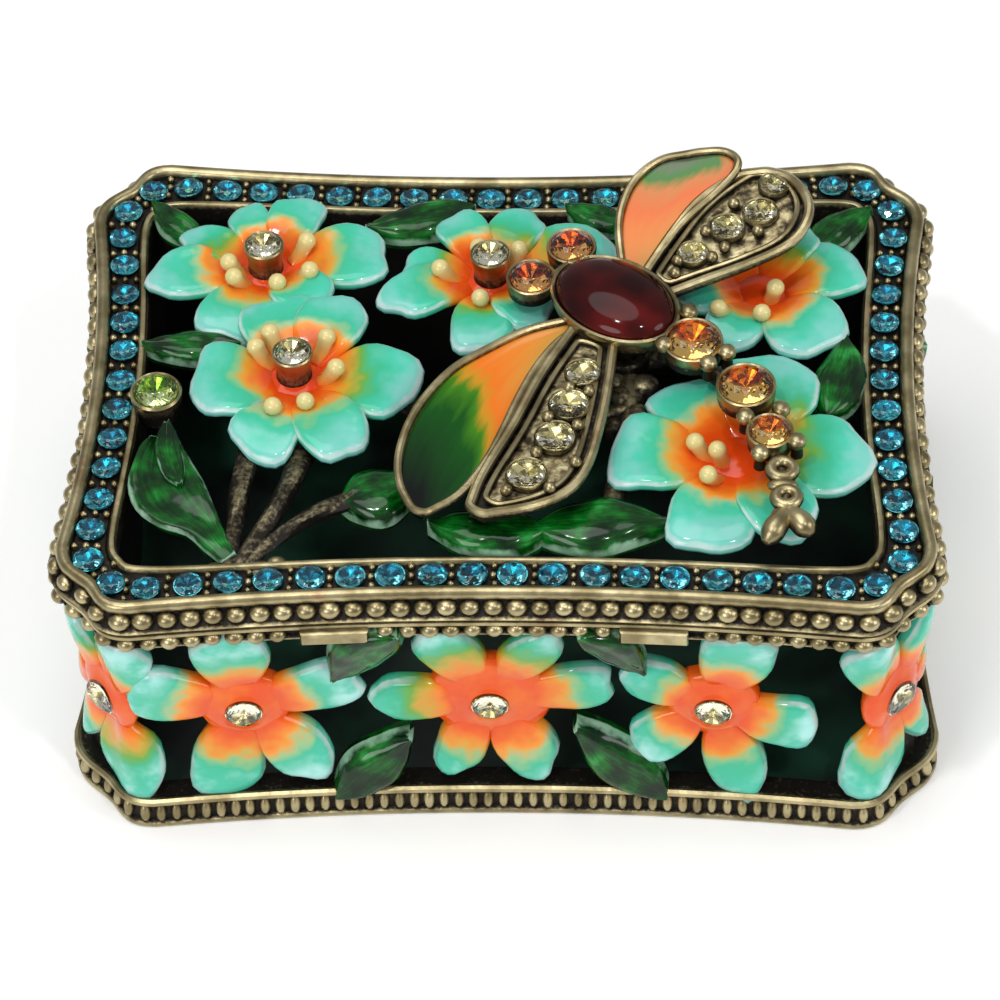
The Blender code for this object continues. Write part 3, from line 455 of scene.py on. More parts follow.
# Foot, floor and top band of the body. They are one casting: a foot with a hollow moulding and
# a row of short ribs, a flat floor, and a band with a row of beads under the lid. On the front
# two plain flat pads stand in the bead row.
FLOOR_TOP = 1.6
FOOT_HEIGHT = 3.3
BAND_BASE = 21.7
BODY_TOP = 23.7
WALL_FLARE = 0.55
WALL_THICKNESS = 1.5
WAIST_IN = 0.7
WALL_INNER = WALL_FLARE - WALL_THICKNESS
RIB_PITCH = 1.18
RIB_OUT = 0.9
RIB_LEVEL = 1.5
RIB_RADII = (0.46, 1.0, 0.62)
RIB_JITTER = 0.07
BEAD_JITTER = 0.08
BAND_BEAD_PITCH = 1.65
BAND_BEAD_OUT = 0.75
BAND_BEAD_LEVEL = 22.6
BAND_BEAD_RADII = (0.74, 0.66, 0.75)
PAD_STATION = 12.1
PAD_LENGTH = 5.2
PAD_CLEARANCE = 0.3
PAD_LOW = 21.95
PAD_HIGH = 23.3
PAD_LAYERS = ((0.6, 0.0, 0.2), (1.4, 0.0, 0.95), (1.6, 0.12, 0.95))
FLOOR_CLOUD_MM = 9.0
FOOT_SECTION = (
    (1.2, 0.0, 0.4), (1.4, 0.08, 0.7), (1.46, 0.28, 0.8), (1.36, 0.46, 0.5), (0.98, 0.6, 0.0), (0.85, 1.5, 0.0),
    (0.95, 2.4, 0.0), (1.3, 2.6, 0.5), (1.5, 2.9, 1.0), (1.42, 3.18, 1.0), (1.15, 3.3, 0.8), (0.85, 3.18, 0.25),
    (0.4, 3.1, 0.15), (-0.3, 3.1, 0.1), (WALL_INNER, 3.0, 0.0))
BAND_SECTION = (
    (WALL_FLARE, BAND_BASE, 0.4), (0.75, 21.8, 0.6), (0.8, 22.0, 0.4), (0.45, 22.2, 0.0), (0.4, 22.9, 0.0),
    (0.75, 23.15, 0.2), (1.15, 23.35, 0.75), (1.1, 23.6, 0.6), (0.9, BODY_TOP, 0.3), (WALL_INNER, BODY_TOP, 0.3),
    (WALL_INNER, BAND_BASE, 0.0))


def wall_out(height):
    """How far the waisted wall stands out from the plan line at a height."""
    half = (BAND_BASE - FOOT_HEIGHT) / 2
    share = (height - FOOT_HEIGHT - half) / half
    return (WALL_FLARE + WAIST_IN) * share * share - WAIST_IN


def on_wall(along, height, out):
    return on_rail(along, height, wall_out(height) + out)


floor_enamel, tree, shader = new_material("dark_green_floor_enamel", {"Roughness": 0.3})
tree.links.new(blend_colours(tree, step(tree, grain(tree, FLOOR_CLOUD_MM), 0.35, 0.7), "0E1C17", "1F4A38"),
               shader.inputs["Base Color"])

chance = random.Random(11)
body_casting = new_shape("wear")
add_rail(body_casting, BAND_SECTION)
foot_rings = []
for out, height, wear in (*FOOT_SECTION, (WALL_INNER, FLOOR_TOP, 0.0)):
    foot_rings.append([add_point(body_casting, (*point, height), wear=wear) for point in plan_line(out)])
floor_face = skin(body_casting, foot_rings)[-1][0]
floor_face.material_index = 1
add_bead_row(body_casting, RIB_PITCH, RIB_OUT, RIB_LEVEL, RIB_RADII, RIB_JITTER, chance)
half_gap = PAD_LENGTH / 2 + PAD_CLEARANCE
pad_gaps = [(side * PAD_STATION - half_gap, side * PAD_STATION + half_gap) for side in (-1, 1)]
add_bead_row(body_casting, BAND_BEAD_PITCH, BAND_BEAD_OUT, BAND_BEAD_LEVEL, BAND_BEAD_RADII, BEAD_JITTER, chance,
             pad_gaps)
for side in (-1, 1):
    corners = []
    for out, edge, wear in PAD_LAYERS:
        for end in (side * PAD_STATION - PAD_LENGTH / 2 + edge, side * PAD_STATION + PAD_LENGTH / 2 - edge):
            for height in (PAD_LOW + edge, PAD_HIGH - edge):
                corners.append(add_point(body_casting, on_rail(end, height, out), wear=wear))
    bmesh.ops.convex_hull(body_casting, input=corners)

# A thin ground behind the flowers closes the ends and the back. The front is pierced.
GROUND_OUT = -0.72
GROUND_INNER = -1.42
GROUND_STEPS = 120
ground_heights = [3.0 + 19.0 * count / 8 for count in range(9)]
ground_loops = []
for count in range(GROUND_STEPS + 1):
    along = CORNER_STATION + (PERIMETER - 2 * CORNER_STATION) * count / GROUND_STEPS
    loop = [add_point(body_casting, on_wall(along, height, GROUND_OUT), wear=0.05) for height in ground_heights]
    loop += [add_point(body_casting, on_wall(along, height, GROUND_INNER), wear=0.0)
             for height in ground_heights[::-1]]
    ground_loops.append(loop)
# The ground's inner faces take the painted shade of the box's inside
for band in skin(body_casting, ground_loops)[:-1]:
    for face in band[len(ground_heights):-1]:
        face.material_index = 2
finish_piece("body_casting", body_casting, [antique_brass, floor_enamel, painted_shade_backs],
             ["box_body"])


# Enamelled flowers of the walls. Each is cast with the walls and painted in opaque enamel that
# was fired glossy: orange round the stone, through green and turquoise to a thin white edge.
# "reach" runs from 0 at the stone to 1 at the petal tips and "edge" is 1 on a petal's rim.
PETAL_VALUES = ("reach", "edge", "tone")
PETAL_SIDES = 30
PETAL_RINGS = ((0.12, 0.0), (0.35, 0.0), (0.56, 0.0), (0.72, 0.0), (0.84, 0.03), (0.92, 0.13), (0.975, 0.33),
               (1.0, 0.55), (0.975, 0.85), (0.9, 1.0), (0.5, 1.0))
PETAL_BACK = 8
GLOSSY_ENAMEL = {"Roughness": 0.12, "IOR": 1.5, "Specular IOR Level": 0.35}


def petal_enamel_material(name, spread, thinness, thin_colour):
    """Opaque flower enamel; spread keeps the orange near the stone, thinness pales the petals' ends in clouds."""
    material, tree, shader = new_material(name, {**GLOSSY_ENAMEL, "Coat Weight": 0.1, "Coat Roughness": 0.04})
    reach = product(tree, stir(tree, value_of(tree, "reach"), grain(tree, 2.2, detail=2.0), 0.3), spread)
    direct = ramp(tree, reach, ((0.0, "DC3E12"), (0.3, "E85212"), (0.41, "EE7220"), (0.49, "EE9A34"),
                                (0.55, "9CC088"), (0.62, "40BC96"), (0.8, "48C4A6"), (1.0, "84D0C6")))
    leafy = ramp(tree, reach, ((0.0, "DC3E12"), (0.27, "E85816"), (0.37, "EC8624"), (0.45, "C6A236"),
                               (0.53, "58A43A"), (0.65, "38B488"), (0.82, "4EC6AA"), (1.0, "8CD4CA")))
    body = blend_colours(tree, value_of(tree, "tone"), direct, leafy)
    thin = product(tree, step(tree, grain(tree, 3.2, seed=6.6), 0.42, 0.66), step(tree, reach, 0.58, 0.85))
    body = blend_colours(tree, product(tree, thin, thinness), body, thin_colour)
    pale = stir(tree, value_of(tree, "edge"), grain(tree, 1.4, seed=2.2), 0.14)
    pale = product(tree, step(tree, pale, 0.88, 0.99), step(tree, reach, 0.45, 0.7))
    tree.links.new(blend_colours(tree, product(tree, pale, 0.8), body, "D6E2E0"), shader.inputs["Base Color"])
    add_bump(tree, shader, grain(tree, 1.3, detail=1.0, seed=7.0), 0.35, 0.12)
    return material


wall_enamel = petal_enamel_material("wall_flower_enamel", 0.96, 0.95, "B0E8E2")


def add_petal(shape, place, turn, reach, half_width, form, chance):
    """One lobed petal as a closed pillow. form holds the heights cup, crown, droop and thickness, the tone, and how
    soon the enamel turns cool."""
    middle, half_length = 0.55 * reach, 0.45 * reach
    phase = chance.uniform(0, 2 * math.pi)
    lobe_size = chance.uniform(0.04, 0.1)
    ruffle = chance.uniform(0.1, 0.22)
    lean = chance.uniform(-0.12, 0.12)
    rings = []
    for share, drop in PETAL_RINGS:
        ring = []
        for angle in circle(PETAL_SIDES):
            front = 0.5 + 0.5 * math.cos(angle)
            lobes = 1 + (lobe_size * math.cos(4 * angle + phase) + 0.03 * math.cos(7 * angle - phase)) * front
            along = middle + half_length * math.cos(angle) * share * lobes
            across = half_width * math.sin(angle) * (1 + 0.3 * math.cos(angle)) * share * lobes
            distance = math.hypot(along, across)
            climb = held((distance / reach - 0.1) / 0.5)
            climb = climb * climb * (3 - 2 * climb)
            tip = held((distance / reach - 0.66) / 0.34)
            rise = form["cup"] + (form["crown"] - form["cup"]) * climb - form["droop"] * tip * tip
            side = across / half_width
            rise += form["curl"] * side * side * climb + ruffle * math.sin(3 * angle + phase) * share * share * climb
            rise += lean * side * climb - drop * form["thickness"]
            x = along * math.cos(turn) - across * math.sin(turn)
            y = along * math.sin(turn) + across * math.cos(turn)
            ring.append(add_point(shape, place(x, y, rise), reach=form["cool"] * distance / reach,
                                  edge=share if drop < 0.4 else 0.8, tone=form["tone"]))
        rings.append(ring)
    # The petal's back rings take the painted shade
    for band in skin(shape, rings)[PETAL_BACK:]:
        for face in band:
            face.material_index = 1


def wall_place(station, level):
    return lambda across, up, out: on_wall(station + across, level + up, out)


WALL_BOSS = ((3.7, -0.9), (3.7, 0.0), (3.45, 0.36), (2.7, 0.6), (1.95, 0.76), (1.62, 0.98), (1.53, 1.05),
             (1.44, 1.04), (0.3, 0.25))
MIDDLE_BOSS = ((4.9, -0.9), (4.9, 0.0), (4.6, 0.36), (3.3, 0.6)) + WALL_BOSS[4:]
LID_BOSS = ((2.9, -1.0), (2.6, -0.72), (2.0, -0.4), (1.3, -0.2), (0.6, -0.1))
BOSS_SIDES = 24


def add_boss(shape, place, profile, reach):
    """A round boss between petals, from a profile of (radius, height), in the enamel of one reach."""
    skin(shape, [[add_point(shape, place(radius * math.cos(angle), radius * math.sin(angle), height),
                            reach=reach, edge=0.0, tone=0.0) for angle in circle(BOSS_SIDES)]
                 for radius, height in profile])


def petal_widths(petals, most, share):
    """Half widths in millimetres: a share of the gap to the neighbours, and at most so much of the reach."""
    turns = sorted(angle for angle, _ in petals)
    widths = {}
    for place, angle in enumerate(turns):
        before = (angle - turns[place - 1]) % 360
        after = (turns[(place + 1) % len(turns)] - angle) % 360
        widths[angle] = 0.5 * (before + after)
    return [min(most, share * math.tan(math.radians(widths[angle] / 2))) * reach for angle, reach in petals]


def mirrored(petals):
    return tuple((180 - angle, reach) for angle, reach in petals)


# Petals as (direction in degrees, reach), and flowers as (distance along the wall, petals)
FLOWER_LEVEL = 12.6
CORNER_PETALS = ((113, 9.3), (60, 9.2), (3, 8.0), (-58, 9.6), (-108, 10.4))
MIDDLE_PETALS = ((117, 10.2), (60, 10.2), (182, 9.3), (8, 9.9), (247, 9.4), (294, 9.8))
LEFT_PETALS = ((96, 9.9), (14, 9.6), (-56, 10.4), (255, 10.6), (166, 10.0))
SIDE_PETALS = ((72, 9.8), (155, 7.9), (226, 8.9), (284, 11.0), (-22, 8.8))
END_PETALS = ((90, 9.9), (20, 8.8), (-52, 10.2), (-128, 10.2), (160, 8.8))
FRONT_FLOWERS = ((-0.7, MIDDLE_PETALS), (16.6, SIDE_PETALS), (-19.8, LEFT_PETALS))
BACK_FLOWERS = ((0.0, END_PETALS), (17.9, SIDE_PETALS), (-17.9, mirrored(SIDE_PETALS)))
SHARED_FLOWERS = ((CORNER_STATION, CORNER_PETALS), (-CORNER_STATION, mirrored(CORNER_PETALS)),
                  (SIDE_STATION, END_PETALS))
wall_flowers = [(half + station, petals) for half, own in ((0, FRONT_FLOWERS), (PERIMETER / 2, BACK_FLOWERS))
                for station, petals in own + SHARED_FLOWERS]

WALL_LOOK = {"cup": 0.5, "crowns": (0.62, 0.74, 0.86), "droop": 0.35, "curl": -0.25, "thickness": 1.5,
             "tones": (0.0, 0.2, 0.9), "cool": 1.0, "widest": 0.3, "gap_share": 0.4, "boss_reach": 0.34}
MIDDLE_LOOK = {**WALL_LOOK, "cool": 0.84}


def add_flower(shape, place, petals, look, boss, chance):
    """A flower: its petals take the look's crowns in turn and its tones by chance."""
    for order, ((angle, reach), half_width) in enumerate(zip(
            petals, petal_widths(petals, look["widest"], look["gap_share"]))):
        form = {**look, "crown": look["crowns"][order % len(look["crowns"])], "tone": chance.choice(look["tones"])}
        add_petal(shape, place, math.radians(angle), reach, half_width, form, chance)
    add_boss(shape, place, boss, look["boss_reach"])


chance = random.Random(5)
petals_shape = new_shape(*PETAL_VALUES)
for station, petals in wall_flowers:
    look, boss = (MIDDLE_LOOK, MIDDLE_BOSS) if petals is MIDDLE_PETALS else (WALL_LOOK, WALL_BOSS)
    add_flower(petals_shape, wall_place(station, FLOWER_LEVEL), petals, look, boss, chance)
finish_enamel("wall_flowers", petals_shape, wall_enamel)


# Enamelled leaves of the walls, in dark glassy green that thins to white along the edges. They
# are part of the same casting. "edge" is 1 on the outline and "along" runs from base to tip.
def streaks(tree, along_scale, across_scale, **noise):
    """Noise that runs with a leaf or wing, by its along and across values."""
    flow = add_node(tree, "ShaderNodeCombineXYZ", links={
        "X": product(tree, value_of(tree, "along"), along_scale),
        "Y": product(tree, value_of(tree, "across"), across_scale)})
    return add_node(tree, "ShaderNodeTexNoise", noise, {"Vector": flow.outputs["Vector"]}).outputs["Fac"]


leaf_enamel, tree, shader = new_material("leaf_enamel", {
    **GLOSSY_ENAMEL, "Coat Weight": 0.05, "Coat Roughness": 0.03})
veined = product(tree, streaks(tree, 3.0, 4.5, Scale=1.6, Detail=3.0, Distortion=0.6), 0.3)
depth = math_node(tree, "ADD", veined, product(tree, grain(tree, 2.6, seed=1.7), 0.7))
green = ramp(tree, depth, ((0.38, "021E07"), (0.48, "06380C"), (0.58, "0C601A"), (0.7, "2A9640")))
pale = stir(tree, value_of(tree, "edge"), grain(tree, 1.6, seed=4.4), 0.3)
green = blend_colours(tree, product(tree, step(tree, pale, 0.9, 1.02), 0.75), green, "ACD8B8")
tree.links.new(green, shader.inputs["Base Color"])
add_bump(tree, shader, grain(tree, 1.5, detail=1.0, seed=9.0), 0.35, 0.12)

LEAF_VALUES = ("edge", "along", "across")
LEAF_STEPS = 16
LEAF_ACROSS = (-1.0, -0.93, -0.8, -0.6, -0.35, -0.1, 0.1, 0.35, 0.6, 0.8, 0.93, 1.0)


def add_blade(shape, place, stations, surface, thickness):
    """A closed blade between pairs of edge points; surface gives its height from (along, across)."""
    loops = []
    last = len(stations) - 1

    def point_of(left, right, along, across, drop, edge):
        point = left.lerp(right, (across + 1) / 2)
        place_of_point = place(point.x, point.y, surface(along, across) - drop)
        return add_point(shape, place_of_point, along=along, across=across, edge=edge)

    for count, (left, right) in enumerate(stations):
        along = count / last
        near_end = max(0.0, 1 - min(along, 1 - along) * last / 1.6)
        loop = []
        for across in LEAF_ACROSS:
            bank = max(0.0, (abs(across) - 0.75) / 0.25)
            drop = thickness * 0.5 * (1 - math.sqrt(max(0.0, 1 - bank * bank)))
            loop.append(point_of(left, right, along, across, drop, max(abs(across), near_end)))
        for across in (0.93, 0.5, -0.5, -0.93):
            loop.append(point_of(left, right, along, across, thickness, 0.5))
        loops.append(loop)
    # The blade's underside takes the painted shade
    for band in skin(shape, loops)[:-1]:
        for face in band[len(LEAF_ACROSS):-1]:
            face.material_index = 1


def leaf_stations(base, tip, width, bow, waves, chance):
    """Edge points of a leaf from base to tip, with a bowed midrib and a waved outline."""
    start, end = Vector(base), Vector(tip)
    run = end - start
    side = Vector((-run.y, run.x)).normalized()
    phase = chance.uniform(0, 6)
    stations = []
    for count in range(LEAF_STEPS + 1):
        along = count / LEAF_STEPS
        fullness = max(0.05, math.sin(math.pi * min(0.985, along ** 0.85)) ** 0.75)
        centre = start + run * along + side * bow * math.sin(math.pi * along)
        left = width / 2 * fullness * (1 + waves * math.sin(9 * along + phase))
        right_side = width / 2 * fullness * (1 + waves * math.sin(8 * along + phase * 2))
        stations.append((centre + side * left, centre - side * right_side))
    return stations


def leaf_surface(middle, fold, arch, veins, width):
    """Height of a leaf whose halves bulge beside a sunken midrib and rippling side veins."""
    def surface(along, across):
        reach = abs(across)
        bulge = fold * math.sin(math.pi * min(1.0, reach * 0.9 + 0.05))
        ripple = veins * math.sin(22 * along - 5 * reach) * math.sin(math.pi * reach)
        return middle + arch * math.sin(math.pi * along) + bulge + ripple - 0.12 * width * reach * reach
    return surface


# Bases and tips as (along, level) from the middle of a side, then the width
FRONT_LEAVES = (((-7.3, 22.5), (-12.8, 15.9), 5.0), ((-13.2, 2.6), (-7.0, 8.4), 4.4),
                ((6.4, 22.5), (11.4, 16.9), 4.0), ((13.0, 2.6), (5.8, 9.4), 4.6))
BACK_LEAVES = (((7.6, 22.4), (10.4, 15.6), 4.4), ((-7.6, 22.4), (-10.4, 15.6), 4.4),
               ((11.9, 2.4), (7.6, 9.4), 3.4), ((-11.9, 2.4), (-7.6, 9.4), 3.4))
END_LEAVES = (((6.8, 22.4), (8.8, 15.2), 4.0), ((-6.8, 22.4), (-8.8, 15.2), 4.0))
chance = random.Random(21)
wall_leaves = new_shape(*LEAF_VALUES)
for side, leaves in enumerate((FRONT_LEAVES, END_LEAVES, BACK_LEAVES, END_LEAVES)):
    for base, tip, width in leaves:
        bow = math.copysign(0.4, base[0])
        add_blade(wall_leaves, wall_place(side * SIDE_STATION, 0), leaf_stations(base, tip, width, bow, 0.05, chance),
                  leaf_surface(0.75, 0.35, 0.3, 0.06, width), 1.6)
finish_enamel("wall_leaves", wall_leaves, leaf_enamel)


# The lid's frame: an outer rail over a row of beads, a channel for the stones, an inner rail
# and under it a short lip that drops into the box. The rails are rubbed bright on top.
LID_SEAT = 24.0
LID_TOP = 26.5
PANEL_UNDER = 24.6
LIP_OUT = WALL_INNER - 0.3
CHANNEL_OUT = -1.75
CHANNEL_FLOOR = 25.62
LID_BEAD_PITCH = 1.77
LID_BEAD_OUT = 0.62
LID_BEAD_LEVEL = 25.02
LID_BEAD_RADII = (0.84, 0.68, 0.74)
CLAW_SPREAD = 0.88
CLAW_LEVEL = 25.78
CLAW_RADIUS = 0.3
CLAW_HEIGHT = 0.4
LID_SECTION = (
    (1.0, LID_SEAT, 0.2), (1.25, 24.08, 0.6), (1.3, 24.22, 0.6), (0.8, 24.4, 0.0), (0.5, 24.6, 0.0),
    (0.42, 25.5, 0.0), (0.5, 25.75, 0.35), (0.54, 26.0, 0.75), (0.46, 26.28, 1.0), (0.26, 26.45, 1.0),
    (0.0, LID_TOP, 1.0), (-0.26, 26.45, 1.0), (-0.44, 26.28, 0.9), (-0.52, 26.05, 0.5), (-0.56, 25.8, 0.0),
    (-0.7, CHANNEL_FLOOR, 0.0), (-2.75, CHANNEL_FLOOR, 0.0), (-2.92, 25.78, 0.1), (-3.0, 26.0, 0.6),
    (-3.12, 26.15, 0.95), (-3.3, 26.2, 1.0), (-3.48, 26.15, 0.95), (-3.6, 26.0, 0.5), (-3.7, 25.6, 0.1),
    (-3.8, PANEL_UNDER, 0.0), (LIP_OUT - 0.9, PANEL_UNDER, 0.0), (LIP_OUT - 0.9, 22.8, 0.0), (LIP_OUT, 22.8, 0.0),
    (LIP_OUT, LID_SEAT, 0.0))
CHANNEL_STONES = 66
CHANNEL_STEPS = 1200


def channel_stations(places):
    """Distances along the plan of places given as shares of the channel's middle line."""
    line = [on_rail(PERIMETER * count / CHANNEL_STEPS, 0.0, CHANNEL_OUT) for count in range(CHANNEL_STEPS + 1)]
    run = [0.0]
    for start, end in zip(line, line[1:]):
        run.append(run[-1] + (end - start).length)
    stations = []
    count = 0
    for place in places:
        while run[count + 1] < run[-1] * place:
            count += 1
        stations.append(PERIMETER * count / CHANNEL_STEPS)
    return stations


chance = random.Random(3)
lid_casting = new_shape("wear")
add_rail(lid_casting, LID_SECTION)
add_bead_row(lid_casting, LID_BEAD_PITCH, LID_BEAD_OUT, LID_BEAD_LEVEL, LID_BEAD_RADII, BEAD_JITTER, chance)
for station in channel_stations([count / CHANNEL_STONES for count in range(CHANNEL_STONES)]):
    for side in (-CLAW_SPREAD, 0.0, CLAW_SPREAD):
        spot = on_rail(station + chance.uniform(-0.08, 0.08), CLAW_LEVEL, CHANNEL_OUT + side)
        size = CLAW_RADIUS + chance.uniform(-0.05, 0.04)
        add_bead(lid_casting, spot, UP, (size, size, CLAW_HEIGHT), 8)


def smooth_path(points, steps=6):
    """A curve through points, by cubic arcs with tangents from the neighbours."""
    points = [Vector(point) for point in points]
    path = []
    for index in range(len(points) - 1):
        before = points[max(0, index - 1)]
        start, end = points[index], points[index + 1]
        after = points[min(len(points) - 1, index + 2)]
        reach = (end - start).length / 3
        leave = (end - before).normalized() * reach
        arrive = (after - start).normalized() * reach
        for count in range(steps):
            share = count / steps
            rest = 1 - share
            path.append(start * rest ** 3 + (start + leave) * 3 * rest * rest * share
                        + (end - arrive) * 3 * rest * share * share + end * share ** 3)
    path.append(points[-1])
    return path


def add_tube(shape, path, radii, sides=12, squash=1.0, wear_low=0.1, wear_high=1.0, ridges=0.0, closed=False):
    """A round bar along a path; its upper side is rubbed and its lower side is dark."""
    count = len(path)
    rings = []
    for index, point in enumerate(path):
        before = path[index - 1] if index or closed else path[0]
        after = path[(index + 1) % count] if index < count - 1 or closed else path[-1]
        forward = (after - before).normalized()
        side = forward.cross(UP).normalized()
        up = side.cross(forward)
        radius = radii[index] if isinstance(radii, list) else radii
        ring = []
        for turn in circle(sides):
            swell = radius * (1 + ridges * math.sin(3 * turn + index * 0.35))
            rise = math.sin(turn)
            ring.append(add_point(
                shape, point + side * swell * math.cos(turn) + up * swell * squash * rise,
                wear=wear_low + (wear_high - wear_low) * max(0.0, rise * 0.9 + 0.1)))
        rings.append(ring)
    skin(shape, rings, closed)


def add_turned(shape, centre, profile, sides=20, squash=1.0, turn=0.0):
    """A turned form on an upright axis, from a profile of (radius, height, wear)."""
    rings = []
    for radius, height, wear in profile:
        ring = []
        for angle in circle(sides):
            point = Vector((radius * math.cos(angle), radius * squash * math.sin(angle)))
            point.rotate(Matrix.Rotation(turn, 2))
            ring.append(add_point(shape, (centre[0] + point.x, centre[1] + point.y, height), wear=wear))
        rings.append(ring)
    skin(shape, rings)


# Three stems fan out from the inner rail and carry the front flower, and bars under the
# dragonfly tie the panel together. All of them are part of the lid's casting.
STEM_LEVEL = PANEL_UNDER + 0.9
front_stems = (
    (((-20.2, -18.8, 25.5), (-20.0, -14.5, 25.8), (-19.7, -11.0, 25.9), (-19.2, -6.5, 25.6)), 0.62, 0.95),
    (((-19.6, -18.8, 25.5), (-17.6, -14.8, 26.0), (-15.9, -11.0, 26.2), (-15.2, -7.5, 25.7)), 0.6, 1.0),
    (((-19.0, -18.8, 25.5), (-16.6, -15.8, 25.8), (-14.0, -13.9, 26.0), (-10.9, -12.4, 26.0)), 0.5, 0.85))
bridge_stems = (
    (((1.5, 6.0), (9.5, 2.5), (16.0, 4.6)), 1.0), (((9.6, 3.0), (10.0, -3.5), (8.6, -14.0)), 0.95),
    (((-8.0, -2.0), (1.0, -4.4), (10.4, -2.8)), 0.9), (((-8.0, -11.2), (-1.5, -8.6), (1.2, -4.0)), 0.9))
for points, thin, thick in front_stems:
    path = smooth_path(points, 7)
    radii = [thin + (thick - thin) * index / len(path) for index in range(len(path))]
    add_tube(lid_casting, path, radii, 14, 0.85, 0.0, 0.36, 0.15)
for points, radius in bridge_stems:
    path = smooth_path([(x, y, STEM_LEVEL) for x, y in points], 6)
    add_tube(lid_casting, path, radius, 12, 0.8, 0.0, 0.45, 0.06)
MOUNT_POINT = (9.5, 2.5)
MOUNT_TOP = LID_TOP + 0.4
POST_UNDER = 24.9
for x, y, size in ((-19.7, -18.6, 1.5), (-21.2, -18.9, 1.0), (-18.0, -18.8, 1.2), (-16.6, -18.2, 0.9)):
    add_bead(lid_casting, Vector((x, y, 25.2)), UP, (size, size * 0.8, 0.75), 12, 0.5)
add_turned(lid_casting, MOUNT_POINT, ((2.2, POST_UNDER, 0.0), (2.2, MOUNT_TOP - 0.2, 0.2), (2.0, MOUNT_TOP, 0.3)))
for x, y, size, height in ((9.6, -1.6, 1.7, 25.4), (10.6, -3.4, 1.3, 25.5), (8.9, -4.4, 1.2, 25.3),
                           (11.2, -0.4, 1.3, 25.6), (8.6, 0.4, 1.5, 25.5)):
    add_bead(lid_casting, Vector((x, y, height)), UP, (size, size * 0.9, 0.9), 12, 0.35)

# Cups for the peridot and, on posts, for the stones of the flowers
PERIDOT_POINT = (-26.9, -2.2)
PERIDOT_GIRDLE = 27.3
PERIDOT_CUP = ((1.9, POST_UNDER, 0.0), (2.0, 26.6, 0.4), (2.05, 27.1, 0.95), (1.9, PERIDOT_GIRDLE, 1.0),
               (1.7, 27.15, 0.5), (1.6, 26.9, 0.0), (0.35, 26.05, 0.0))
add_turned(lid_casting, PERIDOT_POINT, PERIDOT_CUP, 28)
STONE_POST = ((1.5, -0.8, 0.1), (1.36, 0.2, 0.35), (1.36, 0.8, 0.5), (1.42, 1.4, 0.7), (1.58, 1.9, 0.9),
              (1.62, 2.35, 1.0), (1.52, 2.46, 0.9), (1.4, 2.36, 0.3), (1.3, 2.2, 0.0), (0.35, 1.42, 0.0))

lid_flowers = {
    "back_left": ((-19.2, 11.9), 0.0, True,
                  ((108, 7.0), (65, 7.8), (7, 10.0), (-47, 7.2), (249, 8.7), (192, 9.6), (154, 7.8))),
    "back_middle": ((-1.1, 10.9), 0.0, True,
                    ((68, 7.6), (119, 7.2), (171, 7.3), (202, 9.4), (264, 8.7), (304, 7.3), (13, 10.2))),
    "back_right": ((20.3, 9.4), 0.0, False,
                   ((16, 8.6), (62, 7.6), (124, 7.4), (188, 6.9), (246, 7.0), (-53, 8.7))),
    "front_right": ((18.4, -8.0), -0.1, False,
                    ((130, 9.0), (184, 10.1), (253, 10.3), (299, 9.8), (-4, 10.3), (69, 10.4))),
    "front_left": ((-16.2, -0.1), 0.5, True,
                   ((105, 8.4), (61, 8.6), (-9, 10.1), (-62, 10.2), (255, 9.4), (194, 8.2)))}
for (x, y), lift, has_stone, _ in lid_flowers.values():
    if has_stone:
        post = [(radius, LID_TOP + lift + height, wear) for radius, height, wear in STONE_POST]
        add_turned(lid_casting, (x, y), post, 24)
finish_piece("lid_casting", lid_casting, [antique_brass], ["lid"])


# Enamelled flowers of the lid. They stand higher than those of the walls, like shallow bowls,
# with a ring of enamelled pins round the stone. The front one lies over its neighbours.
lid_enamel = petal_enamel_material("lid_flower_enamel", 0.98, 0.65, "86C8C0")


def panel_place(centre, lift):
    return lambda across, up, out: Vector((centre[0] + across, centre[1] + up, LID_TOP + lift + out))


LID_LOOK = {"cup": -0.55, "crowns": (0.75, 1.05), "droop": 0.45, "curl": 0.15, "thickness": 1.15,
            "tones": (0.0, 0.3, 0.9), "cool": 1.0, "widest": 0.46, "gap_share": 0.6, "boss_reach": 0.12}
chance = random.Random(8)
for name, (centre, lift, _, petals) in lid_flowers.items():
    flower = new_shape(*PETAL_VALUES)
    add_flower(flower, panel_place(centre, lift), petals, LID_LOOK, LID_BOSS, chance)
    finish_enamel("lid_flower_" + name, flower, lid_enamel)

pin_enamel, tree, shader = new_material("cream_pin_enamel", {"Roughness": 0.15, "Coat Weight": 0.4})
tree.links.new(ramp(tree, value_of(tree, "reach"), ((0.0, "E8602A"), (0.35, "E69A44"), (0.62, "DDB868"),
                                                    (1.0, "DCCB88"))), shader.inputs["Base Color"])
PIN_SIDES = 12
PIN_HEAD = 0.74
PIN_STALK = 0.64
PIN_RISE = 1.35
PIN_SINK = 0.6
PIN_FOOT_SHARE = 0.72
flower_pins = {
    "front_left": ((-12.8, -0.8), (-18.2, 2.9), (-19.2, 1.4), (-13.7, 2.4), (-17.5, -4.8), (-15.0, -4.3)),
    "back_left": ((-22.0, 11.0), (-21.5, 9.4), (-15.9, 13.3), (-15.5, 10.1), (-18.0, 8.8)),
    "back_middle": ((-2.1, 12.6), (1.1, 12.3), (-1.8, 7.1), (-5.1, 10.3)),
    "back_right": ((17.0, 5.9), (20.4, 5.4), (21.5, 8.1)),
    "front_right": ((15.2, -8.0), (16.9, -8.8), (16.2, -11.3))}


